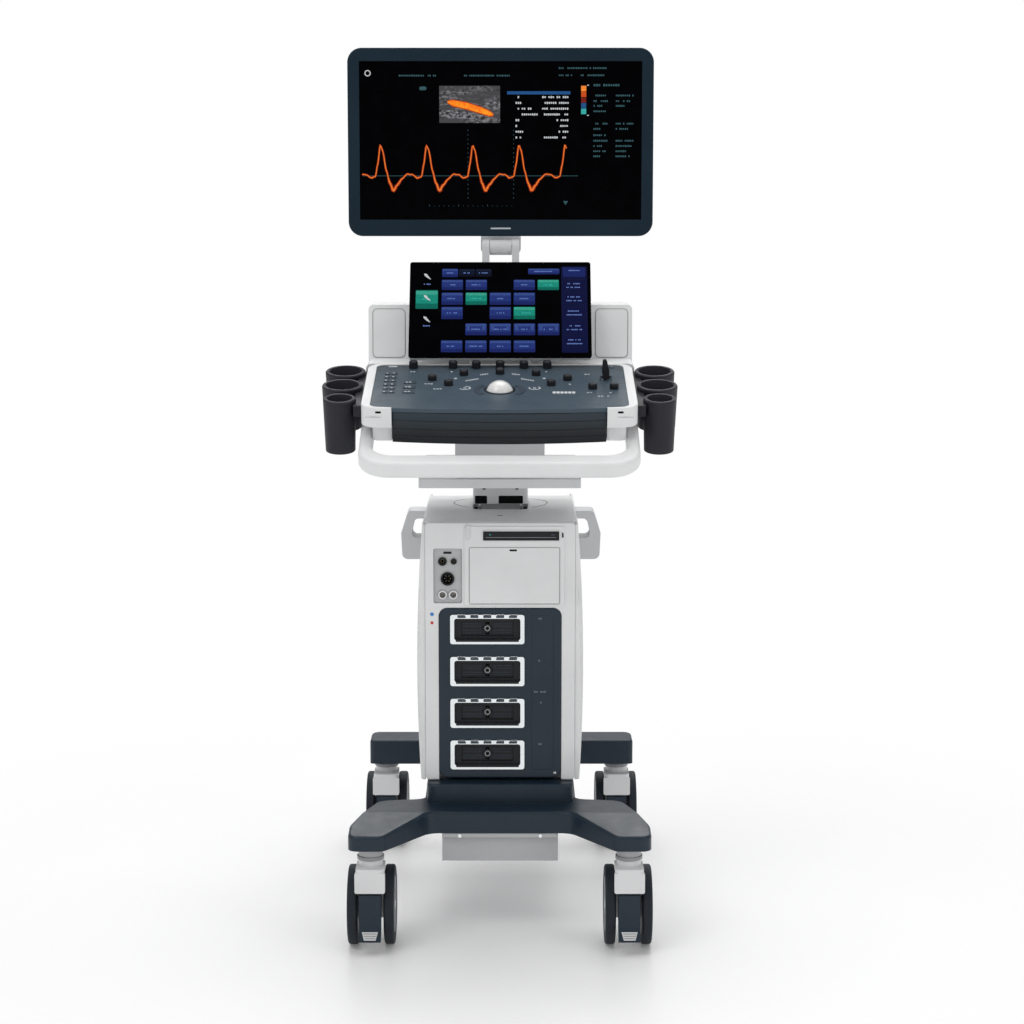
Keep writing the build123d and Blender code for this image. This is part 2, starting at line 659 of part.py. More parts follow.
# ---- monitor arm ----
def arm_turret():
    base = rod((0, ARM_Y, 892.5), (0, 0, 1), 36, 26)
    base = fillet(base.edges().filter_by(GeomType.CIRCLE).sort_by(Axis.Z)[-1:], 4)
    spigot = rod((0, ARM_Y, 866.5), (0, 0, 1), 10, 27)
    cheek = section([(ARM_Y - 20, 917), (ARM_Y + 20, 917), (ARM_Y + 16, 960), (ARM_Y - 16, 960)], 19, 31)
    cheek += rod((19, ARM_Y, ARM_LOW_Z), (1, 0, 0), 17, 12)
    cheek -= rod((10, ARM_Y, ARM_LOW_Z), (1, 0, 0), 6 + RUN, 30)
    return base + spigot + cheek + mirror(cheek, about=Plane.YZ)


def arm_link():
    """Lifting link with an eye at its foot and a fork at its head."""
    y = ARM_Y
    stem = block((-18.5, 18.5), (y - 13, y + 13), (ARM_LOW_Z, 1052))
    foot = rod((-18.5, y, ARM_LOW_Z), (1, 0, 0), 15, 37)
    pin = rod((-31, y, ARM_LOW_Z), (1, 0, 0), 6, 62)
    yoke = rounded((-31, 31), (y - 14, y + 14), (1030, 1054), 5, Axis.Y)
    cheek = block((19, 31), (y - 14, y + 14), (1040, ARM_HIGH_Z))
    cheek += rod((19, y, ARM_HIGH_Z), (1, 0, 0), 14, 12)
    cheek -= rod((10, y, ARM_HIGH_Z), (1, 0, 0), 5 + RUN, 30)
    return stem + foot + pin + yoke + cheek + mirror(cheek, about=Plane.YZ)


def monitor_yoke():
    """Knuckle, back plate and hinge ears that hold the monitor."""
    y, z = ARM_Y, ARM_HIGH_Z
    knuckle = rod((-18.5, y, z), (1, 0, 0), 13, 37)
    pin = rod((-31, y, z), (1, 0, 0), 5, 62)
    foot = block((-18.5, 18.5), (y, 187), (z - 9, z + 9))
    plate = rounded((-34, 34), (177, 187), (z - 12, 1268), 8, Axis.Y)
    holder = knuckle + pin + foot + plate
    hy, hz = MONITOR_HINGE
    ear = block((24, 34), (hy, 180), (hz - 9, hz + 9)) + rod((24, hy, hz), (1, 0, 0), 9, 10)
    ear -= rod((20, hy, hz), (1, 0, 0), 4 + RUN, 20)
    return holder + ear + mirror(ear, about=Plane.YZ)


def monitor_shell():
    y = MONITOR_FRONT
    case = rounded((-MONITOR_HALF, MONITOR_HALF), (y, y + 22), (MONITOR_BOTTOM, MONITOR_TOP), 24, Axis.Y)
    case = fillet(case.faces().sort_by(Axis.Y)[-1].edges(), 9)
    case = fillet(case.faces().sort_by(Axis.Y)[0].edges(), 2.5)
    window = block((-235.5, 235.5), (y - 5, y + 4), (1126, 1387.5))
    back = rounded((-150, 150), (y + 20, y + 44), (1166, 1342), 22, Axis.Y)
    back = fillet(back.faces().sort_by(Axis.Y)[-1].edges(), 8)
    hy, hz = MONITOR_HINGE
    lug = rod((-23.5, hy, hz), (1, 0, 0), 8, 47) + block((-23.5, 23.5), (y + 40, hy), (hz - 8, hz + 8))
    pin = rod((-33, hy, hz), (1, 0, 0), 4, 66)
    return case - window + back + lug + pin


def monitor_screen():
    y = MONITOR_FRONT
    return block((-235.3, 235.3), (y + 1.2, y + 4), (1126.2, 1387.3))


# ---- write every sub-part ----
def write_root():
    save("base_cover", base_cover())
    save("base_chassis", base_chassis())
    save("base_pan", base_pan())
    save("tower_frame", tower_frame())
    save("tower_front_cover", tower_front_cover())
    save("tower_right_cover", tower_side_cover())
    save("tower_left_cover", mirror(tower_side_cover(), about=Plane.YZ))
    save("tower_rear_cover", tower_rear_cover())
    save("tower_top_cover", tower_top_cover())
    save("connector_panel", connector_panel())
    save("socket_frames", sockets(socket_frame))
    save("socket_inserts", sockets(socket_insert))
    save("physio_module", physio_module())
    save("disc_drive", disc_drive())
    save("disc_tray", disc_tray())
    save("electronics_units", [electronics_box(), power_supply()])
    save("cooling_fan", cooling_fan())
    save("side_hooks", [side_hook(), mirror(side_hook(), about=Plane.YZ)])
    save("column_outer", column_outer())
    save("base_screws", pan_screws())


def write_casters():
    for name, (x, y) in CASTERS.items():
        place = Pos(x, y, 0)
        save(f"caster_fork_{name}", place * caster_fork())
        save(f"caster_wheels_{name}", [place * piece for piece in caster_wheels()])
        save(f"caster_pedal_{name}", place * caster_pedal())


def write_lift():
    save("column_inner", column_inner())
    save("neck_cover", neck_cover())


def write_console():
    save("console_bracket", console_bracket())
    save("console_base", CONSOLE * console_base())
    save("console_bezel", CONSOLE * console_bezel())
    save("control_plate", CONSOLE * control_plate())
    save("control_keys", [CONSOLE * round_key(x, v) for x, v in KEYS])
    save("console_wings", console_wings())
    save("front_handle", front_handle())
    save("probe_holder_right", CONSOLE * probe_holder())
    save("probe_holder_left", mirror(CONSOLE * probe_holder(), about=Plane.YZ))
    save("keyboard_drawer", CONSOLE * keyboard_drawer())
    save("keyboard_keys", [CONSOLE * key for key in keyboard_keys()])
    save("trackball", CONSOLE * trackball())
    save("paddle_lever", CONSOLE * paddle_lever())
    for number, (x, v) in enumerate(KNOBS, start=1):
        save(f"menu_knob_{number}", CONSOLE * menu_knob(x, v))
    save("touch_glass", touch_glass())
    save("touch_housing", touch_housing())


def write_monitor():
    save("arm_turret", arm_turret())
    save("arm_link", arm_link())
    save("monitor_yoke", monitor_yoke())
    save("monitor_shell", monitor_shell())
    save("monitor_screen", monitor_screen())


write_root()
write_casters()
write_lift()
write_console()
write_monitor()
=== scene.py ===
import bpy
import bmesh
import json
import math
import random
from mathutils import Matrix, Vector


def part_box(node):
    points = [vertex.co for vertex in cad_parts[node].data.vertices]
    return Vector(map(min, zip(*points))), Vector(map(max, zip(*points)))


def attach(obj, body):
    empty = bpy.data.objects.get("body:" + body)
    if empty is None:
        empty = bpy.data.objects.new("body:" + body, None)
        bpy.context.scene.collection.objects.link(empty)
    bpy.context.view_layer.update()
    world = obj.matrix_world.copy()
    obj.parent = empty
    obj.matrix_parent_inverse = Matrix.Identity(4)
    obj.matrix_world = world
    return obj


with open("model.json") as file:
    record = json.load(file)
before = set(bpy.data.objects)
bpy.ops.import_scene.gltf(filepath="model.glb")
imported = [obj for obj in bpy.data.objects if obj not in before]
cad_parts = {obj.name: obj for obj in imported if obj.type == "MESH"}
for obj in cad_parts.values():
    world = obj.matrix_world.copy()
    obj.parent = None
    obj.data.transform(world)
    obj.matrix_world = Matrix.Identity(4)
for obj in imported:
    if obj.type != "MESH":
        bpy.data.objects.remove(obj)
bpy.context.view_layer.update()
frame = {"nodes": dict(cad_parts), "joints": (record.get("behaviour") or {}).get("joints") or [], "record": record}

MM = 0.001
LOOK_DOWN = 8.0                       # degrees, the camera's pitch
CAMERA_PLACE = (0.019, -3.861, 1.190)
FLOOR_HALF = 60.0                     # metres
SHADOW_REACH = (0.35, 1.5)            # metres from the middle over which the floor turns pure white
SOFT_EDGE = 0.0008                    # metres, rounding that the light sees on moulded edges
X, Y, Z = Vector((1, 0, 0)), Vector((0, 1, 0)), Vector((0, 0, 1))
SIDES = ((-1, "left"), (1, "right"))
CASTER_NAMES = ("front_left", "front_right", "rear_left", "rear_right")
JOINTS = {joint["name"]: joint for joint in frame["joints"]}


def put_in_scene(name, data):
    """A new object with this mesh, light or camera."""
    thing = bpy.data.objects.new(name, data)
    bpy.context.scene.collection.objects.link(thing)
    return thing


def fill(node, values):
    """Set a shader node's inputs by their names."""
    for name, value in values.items():
        node.inputs[name].default_value = value


# ---- camera, floor and light
def make_camera():
    """A long lens in front of the machine, a little above the console, looking slightly down."""
    data = bpy.data.cameras.new("camera")
    data.lens = 82.76
    data.sensor_width = 36.0
    data.clip_end = 200.0
    camera = put_in_scene("camera", data)
    camera.location = CAMERA_PLACE
    camera.rotation_euler = (math.radians(90.0 - LOOK_DOWN), 0.0, 0.0)
    bpy.context.scene.camera = camera


def area_light(name, place, target, size, power):
    data = bpy.data.lights.new(name, "AREA")
    data.shape = "RECTANGLE"
    data.size, data.size_y = size
    data.energy = power
    lamp = put_in_scene(name, data)
    lamp.location = place
    lamp.rotation_euler = (Vector(target) - Vector(place)).to_track_quat("-Z", "Y").to_euler()
    lamp.visible_camera = False


def make_world():
    """White surroundings, a little dimmer as a light than as a backdrop."""
    world = bpy.data.worlds.new("studio")
    bpy.context.scene.world = world
    world.use_nodes = True
    tree = world.node_tree
    backdrop = tree.nodes["Background"]
    fill(backdrop, {"Strength": 1.0, "Color": (1.0, 1.0, 1.0, 1.0)})
    ambient = tree.nodes.new("ShaderNodeBackground")
    fill(ambient, {"Strength": 0.62})
    rays = tree.nodes.new("ShaderNodeLightPath")
    choice = tree.nodes.new("ShaderNodeMixShader")
    tree.links.new(rays.outputs["Is Camera Ray"], choice.inputs[0])
    tree.links.new(ambient.outputs[0], choice.inputs[1])
    tree.links.new(backdrop.outputs[0], choice.inputs[2])
    tree.links.new(choice.outputs[0], tree.nodes["World Output"].inputs["Surface"])


def make_studio():
    """Pale floor and four large soft lights."""
    bpy.context.scene.view_settings.view_transform = "Standard"
    make_world()
    area_light("key", (-1.5, -2.0, 3.1), (0, 0, 0.8), (1.6, 1.6), 25)
    area_light("fill", (2.4, -2.4, 1.6), (0, 0, 0.7), (1.4, 2.0), 12)
    area_light("top", (0.1, 0.4, 3.3), (0, 0, 0.5), (2.2, 2.2), 38)
    area_light("back", (0.2, 2.7, 2.3), (0, 0, 0.6), (2.6, 1.0), 26)
    corners = [(x * FLOOR_HALF, y * FLOOR_HALF, 0) for x, y in ((-1, -1), (1, -1), (1, 1), (-1, 1))]
    mesh = bpy.data.meshes.new("floor")
    mesh.from_pydata(corners, [], [(0, 1, 2, 3)])
    floor = put_in_scene("floor", mesh)
    floor.data.materials.append(floor_paint())


# ---- materials
class Paint:
    """A node material with short names for the steps that the finishes share."""

    def __init__(self, name):
        self.material = bpy.data.materials.new(name)
        self.material.use_nodes = True
        self.tree = self.material.node_tree
        self.shader = self.tree.nodes["Principled BSDF"]
        self.place = self.add("ShaderNodeTexCoord").outputs["Object"]

    def add(self, kind, **settings):
        node = self.tree.nodes.new(kind)
        for key, value in settings.items():
            setattr(node, key, value)
        return node

    def join(self, source, target):
        self.tree.links.new(source, target)

    def cover(self, colour, rough, normal):
        """Colour, roughness and relief of the surface."""
        self.join(colour, self.shader.inputs["Base Color"])
        self.join(rough, self.shader.inputs["Roughness"])
        self.join(normal, self.shader.inputs["Normal"])

    def noise(self, scale, detail, rough, stretch=None):
        node = self.add("ShaderNodeTexNoise")
        fill(node, {"Scale": scale, "Detail": detail, "Roughness": rough})
        place = self.place
        if stretch:
            mapping = self.add("ShaderNodeMapping")
            fill(mapping, {"Scale": stretch})
            self.join(self.place, mapping.inputs["Vector"])
            place = mapping.outputs["Vector"]
        self.join(place, node.inputs["Vector"])
        return node.outputs["Fac"]

    def span(self, source, low, high, start=0.0, end=1.0):
        """Map a value from one range to another."""
        node = self.add("ShaderNodeMapRange")
        fill(node, {"From Min": start, "From Max": end, "To Min": low, "To Max": high})
        self.join(source, node.inputs["Value"])
        return node.outputs["Result"]

    def blend(self, factor, first, second):
        """Mix two colours, given as colours or as sockets."""
        node = self.add("ShaderNodeMix", data_type="RGBA")
        for value, socket in ((first, node.inputs[6]), (second, node.inputs[7])):
            if isinstance(value, bpy.types.NodeSocket):
                self.join(value, socket)
            else:
                socket.default_value = (*value, 1.0)
        self.join(factor, node.inputs[0])
        return node.outputs[2]

    def along(self, axis, start, end):
        """0 before start and 1 after end along one axis of the machine, in metres."""
        parts = self.add("ShaderNodeSeparateXYZ")
        self.join(self.place, parts.inputs[0])
        return self.span(parts.outputs[axis], 0.0, 1.0, start, end)

    def edges(self, radius):
        """1 on the edges of a shape and 0 on its flats, and the rounded normal."""
        round_off = self.add("ShaderNodeBevel", samples=4)
        fill(round_off, {"Radius": radius})
        true_normal = self.add("ShaderNodeNewGeometry").outputs["Normal"]
        dot = self.add("ShaderNodeVectorMath", operation="DOT_PRODUCT")
        self.join(round_off.outputs["Normal"], dot.inputs[0])
        self.join(true_normal, dot.inputs[1])
        return self.span(dot.outputs["Value"], 1.0, 0.0, 0.85, 1.0), round_off.outputs["Normal"]

    def bump(self, height, distance, strength, normal=None):
        node = self.add("ShaderNodeBump")
        fill(node, {"Distance": distance, "Strength": strength})
        self.join(height, node.inputs["Height"])
        if normal:
            self.join(normal, node.inputs["Normal"])
        return node.outputs["Normal"]


def shade(colour, factor, lift=0.0):
    """A colour made lighter or darker."""
    return tuple(min(1.0, channel * factor + lift) for channel in colour)


def moulded(name, colour, rough=0.42, grain=1500.0, depth=0.00004, edge_highlight=0.12, gloss=0.5, coat=0.0,
            split=None):
    """Injection-moulded plastic: eroded grain, soft edges that catch light and carry a painted highlight, faint
    handling marks.

    split is (axis, start, end, colour): the moulding turns to that colour along the axis.
    """
    paint = Paint(name)
    fine = paint.noise(grain, 3.0, 0.6)
    broad = paint.noise(7.0, 4.0, 0.55)
    smears = paint.noise(26.0, 5.0, 0.7, (1.0, 1.0, 0.35))
    edge, soft = paint.edges(SOFT_EDGE)
    mottle = paint.span(broad, 0.0, 1.0, 0.3, 0.7)
    base = paint.blend(mottle, shade(colour, 0.93), shade(colour, 1.05, 0.002))
    # painted highlight: the lighter tone that the edges are blended towards
    rim = shade(colour, 1.5, 0.02)
    if split:
        axis, start, end, other = split
        base = paint.blend(paint.along(axis, start, end), base, other)
    # painted highlight: the edges turn towards the lighter rim tone
    base = paint.blend(paint.span(edge, 0.0, edge_highlight), base, rim)
    sheen = paint.span(smears, rough - 0.06, rough + 0.08, 0.3, 0.7)
    paint.cover(base, sheen, paint.bump(fine, depth, 0.6, soft))
    fill(paint.shader, {"Specular IOR Level": gloss, "Coat Weight": coat, "Coat Roughness": 0.2})
    return paint.material


def metal(name, colour, rough):
    """Satin metal with fine brushed lines that lie level."""
    paint = Paint(name)
    lines = paint.noise(90.0, 6.0, 0.65, (1.0, 1.0, 40.0))
    cloud = paint.noise(14.0, 3.0, 0.5)
    edge, soft = paint.edges(0.0006)
    base = paint.blend(paint.span(lines, 0.0, 1.0, 0.3, 0.7), shade(colour, 0.86), colour)
    # painted highlight: the edges turn to a lighter tone
    base = paint.blend(paint.span(edge, 0.0, 0.5), base, shade(colour, 1.25))
    sheen = paint.span(cloud, rough - 0.06, rough + 0.08, 0.3, 0.7)
    paint.cover(base, sheen, paint.bump(lines, 0.00002, 0.5, soft))
    fill(paint.shader, {"Metallic": 1.0})
    return paint.material


def powder_coat(name, colour):
    """Powder-coated steel or aluminium: a fine orange-peel surface."""
    paint = Paint(name)
    peel = paint.noise(420.0, 2.0, 0.5)
    broad = paint.noise(9.0, 3.0, 0.5)
    edge, soft = paint.edges(0.0007)
    base = paint.blend(paint.span(broad, 0.0, 1.0, 0.3, 0.7), shade(colour, 0.92), colour)
    # painted highlight: the edges turn to a lighter tone
    base = paint.blend(paint.span(edge, 0.0, 0.2), base, shade(colour, 1.3))
    paint.cover(base, paint.span(broad, 0.34, 0.46, 0.3, 0.7), paint.bump(peel, 0.00006, 0.5, soft))
    return paint.material


def rubber(name, colour):
    """Polyurethane tread: matt, scuffed and a little dusty."""
    paint = Paint(name)
    scuff = paint.noise(180.0, 5.0, 0.75)
    fine = paint.noise(2200.0, 2.0, 0.5)
    edge, soft = paint.edges(SOFT_EDGE)
    base = paint.blend(paint.span(scuff, 0.0, 0.5, 0.45, 0.8), colour, shade(colour, 1.8, 0.01))
    # painted highlight: the edges turn to a much lighter tone
    base = paint.blend(paint.span(edge, 0.0, 0.25), base, shade(colour, 2.2, 0.02))
    paint.cover(base, paint.span(scuff, 0.5, 0.72, 0.3, 0.7), paint.bump(fine, 0.00005, 0.6, soft))
    fill(paint.shader, {"Specular IOR Level": 0.3})
    return paint.material


def cover_glass(name):
    """Black cover glass with a faint film of fingerprints."""
    paint = Paint(name)
    prints = paint.noise(35.0, 6.0, 0.7)
    dust = paint.noise(900.0, 2.0, 0.6)
    film = paint.span(prints, 0.0, 1.0, 0.4, 0.8)
    base = paint.blend(film, (0.0003, 0.0003, 0.0006), (0.001, 0.001, 0.002))
    paint.cover(base, paint.span(prints, 0.08, 0.2, 0.35, 0.75), paint.bump(dust, 0.000003, 0.3))
    fill(paint.shader, {"Specular IOR Level": 0.02})
    return paint.material


def light_up(paint, tone, strength):
    """Make a finish shine by itself and reflect almost nothing."""
    paint.join(tone, paint.shader.inputs["Emission Color"])
    fill(paint.shader, {"Emission Strength": strength, "Specular IOR Level": 0.02})
    fill(paint.shader, {"Base Color": (0.002, 0.002, 0.002, 1.0)})
    return paint.material


def glow(name, colour, strength=1.0, scale=500.0, other=None, contrast=(0.3, 0.7)):
    """A lit area of a display, whose tone wanders between two colours."""
    paint = Paint(name)
    grain = paint.noise(scale, 3.0, 0.65)
    tone = paint.blend(paint.span(grain, 0.0, 1.0, *contrast), other or shade(colour, 0.6), colour)
    paint.join(paint.span(grain, 0.25, 0.35), paint.shader.inputs["Roughness"])
    return light_up(paint, tone, strength)


def echo_speckle(name):
    """Grey ultrasound speckle with brighter layers lying across it."""
    paint = Paint(name)
    speckle = paint.noise(260.0, 3.0, 0.7, (0.6, 1.0, 1.0))
    layers = paint.noise(34.0, 3.0, 0.6, (0.3, 1.0, 2.0))
    dots = paint.span(speckle, 0.0, 1.0, 0.42, 0.62)
    grain = paint.blend(dots, (0.004, 0.004, 0.005), (0.34, 0.34, 0.36))
    tone = paint.blend(paint.span(layers, 0.0, 0.9, 0.46, 0.62), (0.06, 0.06, 0.065), grain)
    return light_up(paint, tone, 1.0)


def floor_paint():
    """Near-white studio floor that melts into the white surroundings round the machine."""
    paint = Paint("floor_paint")
    cloud = paint.noise(1.5, 3.0, 0.5)
    base = paint.blend(cloud, (0.90, 0.90, 0.905), (0.93, 0.93, 0.93))
    paint.join(base, paint.shader.inputs["Base Color"])
    paint.join(base, paint.shader.inputs["Emission Color"])
    paint.join(paint.span(cloud, 0.28, 0.36), paint.shader.inputs["Roughness"])
    fill(paint.shader, {"Emission Strength": 0.1, "Specular IOR Level": 0.25})
    distance = paint.add("ShaderNodeVectorMath", operation="LENGTH")
    paint.join(paint.place, distance.inputs[0])
    far = paint.add("ShaderNodeMapRange", interpolation_type="SMOOTHSTEP")
    fill(far, {"From Min": SHADOW_REACH[0], "From Max": SHADOW_REACH[1]})
    paint.join(distance.outputs["Value"], far.inputs["Value"])
    light = paint.add("ShaderNodeEmission")
    fill(light, {"Strength": 1.0, "Color": (1.0, 1.0, 1.0, 1.0)})
    mixed = paint.add("ShaderNodeMixShader")
    paint.join(far.outputs["Result"], mixed.inputs[0])
    paint.join(paint.shader.outputs[0], mixed.inputs[1])
    paint.join(light.outputs[0], mixed.inputs[2])
    output = paint.tree.nodes["Material Output"]
    paint.join(mixed.outputs[0], output.inputs["Surface"])
    return paint.material


make_camera()
make_studio()

WHITE_TONE = (0.74, 0.745, 0.75)
WHITE = moulded("white_moulding", WHITE_TONE, rough=0.45)
NAVY = moulded("navy_moulding", (0.009, 0.021, 0.036), rough=0.36, gloss=0.35)
# the monitor turns white behind its bezel, and the panel is darker behind its front edge
SHELL = moulded("monitor_moulding", (0.004, 0.015, 0.027), rough=0.36, gloss=0.15,
                split=(1, 0.1285, 0.1290, WHITE_TONE))
SLATE = moulded("slate_panel", (0.046, 0.072, 0.096), rough=0.4, edge_highlight=0.15, gloss=0.3,
                split=(1, -0.15, -0.10, (0.026, 0.040, 0.054)))
KEY_FACE = moulded("key_face", (0.032, 0.048, 0.066), rough=0.45, gloss=0.3)
CUP = moulded("cup_moulding", (0.012, 0.012, 0.018), rough=0.5, edge_highlight=0.25, gloss=0.3)
CUP_LINER = moulded("cup_liner", (0.035, 0.034, 0.045), rough=0.62, gloss=0.25)
BLACK = moulded("black_moulding", (0.006, 0.007, 0.010), rough=0.42, edge_highlight=0.15, gloss=0.3)
# painted shade: near-black that stands for the shade inside slots, vents, cut-outs and screw recesses, and lines
# the dark insides of sockets
RECESS = moulded("recess_black_and_shade", (0.003, 0.003, 0.004), rough=0.7, gloss=0.1)
GREY = moulded("grey_moulding", (0.30, 0.31, 0.32), rough=0.5)
PALE = moulded("pale_moulding", (0.66, 0.67, 0.68), rough=0.42)
MODULE = moulded("module_moulding", (0.46, 0.465, 0.47), rough=0.5)
SEAM = moulded("seam_shadow", (0.30, 0.305, 0.31), rough=0.7, gloss=0.2)
PRINT = moulded("pale_print", (0.46, 0.49, 0.52), rough=0.6, grain=3000.0, edge_highlight=0.0, gloss=0.2)
DIM_PRINT = moulded("dim_print", (0.16, 0.19, 0.22), rough=0.6, grain=3000.0, edge_highlight=0.0, gloss=0.2)
BLUE_MARK = moulded("blue_mark", (0.03, 0.20, 0.55), rough=0.5, edge_highlight=0.0)
RED_MARK = moulded("red_mark", (0.55, 0.03, 0.03), rough=0.5, edge_highlight=0.0)
FRAME_STEEL = powder_coat("frame_steel", (0.46, 0.47, 0.48))
CASTING = powder_coat("light_casting", (0.58, 0.59, 0.60))
BRIGHT = metal("bright_metal", (0.86, 0.90, 0.92), rough=0.24)
GILT = metal("contact_metal", (0.55, 0.45, 0.25), rough=0.3)
TREAD = rubber("tread_rubber", (0.010, 0.015, 0.022))
GLASS = cover_glass("cover_glass")
BALL = moulded("ball_plastic", (0.74, 0.74, 0.73), rough=0.18, grain=60.0, depth=0.000002, edge_highlight=0.0,
               coat=0.6)
# painted reflection: the drawer's front is bluer towards its upper edge, where it picks up a bluish reflection
DRAWER = moulded("drawer_moulding", (0.004, 0.006, 0.009), rough=0.38, edge_highlight=0.3, gloss=0.35,
                 split=(2, 0.812, 0.838, (0.016, 0.028, 0.038)))

FINISH_OF_SLOT = {
    "white_plastic": WHITE, "navy_plastic": NAVY, "slate_plastic": SLATE, "cup_plastic": CUP,
    "black_plastic": BLACK, "frame_steel": FRAME_STEEL, "cast_aluminium": CASTING, "socket_metal": BRIGHT,
    "tyre_rubber": TREAD, "screen_glass": GLASS, "ball_plastic": BALL,
}
FINISH_OF_NODE = {
    "monitor_shell": SHELL, "keyboard_keys": KEY_FACE, "keyboard_drawer": DRAWER, "physio_module": MODULE,
}

LIT_WHITE = glow("lit_white", (0.75, 0.78, 0.80), 0.9)
LIT_DIM = glow("lit_dim_teal", (0.05, 0.13, 0.15), 0.9)
LIT_TEXT = glow("lit_button_text", (0.16, 0.26, 0.62))
LIT_BLUE = glow("lit_header_blue", (0.02, 0.10, 0.28))
LIT_RED = glow("lit_trace_red", (0.22, 0.018, 0.008), scale=900.0, other=(0.10, 0.008, 0.005))
LIT_ORANGE = glow("lit_trace_orange", (0.68, 0.10, 0.015), scale=900.0, other=(0.45, 0.05, 0.01))
LIT_YELLOW = glow("lit_trace_yellow", (0.95, 0.33, 0.05), scale=900.0, other=(0.85, 0.16, 0.02))
LIT_CYAN = glow("lit_cyan", (0.05, 0.5, 0.45))
LIT_FLOW = glow("lit_flow", (1.0, 0.34, 0.02), scale=120.0, other=(0.95, 0.16, 0.01), contrast=(0.35, 0.65))
LIT_FLOW_EDGE = glow("lit_flow_edge", (0.55, 0.06, 0.01))
LIT_PANEL = glow("lit_panel_navy", (0.004, 0.006, 0.05))


def button_tones(name, low, mid, top):
    """The three bands of a lit button, from its foot to its upper edge."""
    return [glow(f"{name}_{band}", tone) for band, tone in (("low", low), ("mid", mid), ("top", top))]


BUTTON_TONES = {
    "blue": button_tones("button", (0.012, 0.022, 0.14), (0.020, 0.040, 0.21), (0.045, 0.085, 0.30)),
    "teal": button_tones("teal", (0.004, 0.16, 0.12), (0.012, 0.30, 0.22), (0.05, 0.42, 0.30)),
    "dark": button_tones("tab", (0.002, 0.003, 0.012), (0.004, 0.007, 0.025), (0.008, 0.014, 0.04)),
}
SPECKLE = echo_speckle("echo_speckle")


def dress_frame():
    """Give every CAD node the finish of its material slot, or its own."""
    for part in frame["record"]["subparts"]:
        name = part["node"]
        finish = FINISH_OF_NODE.get(name, FINISH_OF_SLOT[part["material_slot"]])
        node = frame["nodes"][name]
        node.data.materials.clear()
        node.data.materials.append(finish)


# ---- shapes on a face
def arc_points(x, y, radius, start, end, steps):
    """Points on an arc, anticlockwise, angles in degrees."""
    turns = [math.radians(start + (end - start) * k / steps) for k in range(steps + 1)]
    return [(x + radius * math.cos(turn), y + radius * math.sin(turn)) for turn in turns]


def rounded_outline(x, y, width, height, radius, steps=3):
    """A rectangle round a middle point, with round corners if it has a radius."""
    a, b = width / 2 - max(radius, 0), height / 2 - max(radius, 0)
    corners = [(x + a, y + b), (x - a, y + b), (x - a, y - b), (x + a, y - b)]
    if radius <= 0:
        return corners
    outline = []
    for quarter, corner in enumerate(corners):
        outline += arc_points(*corner, radius, 90 * quarter, 90 * quarter + 90, steps)
    return outline


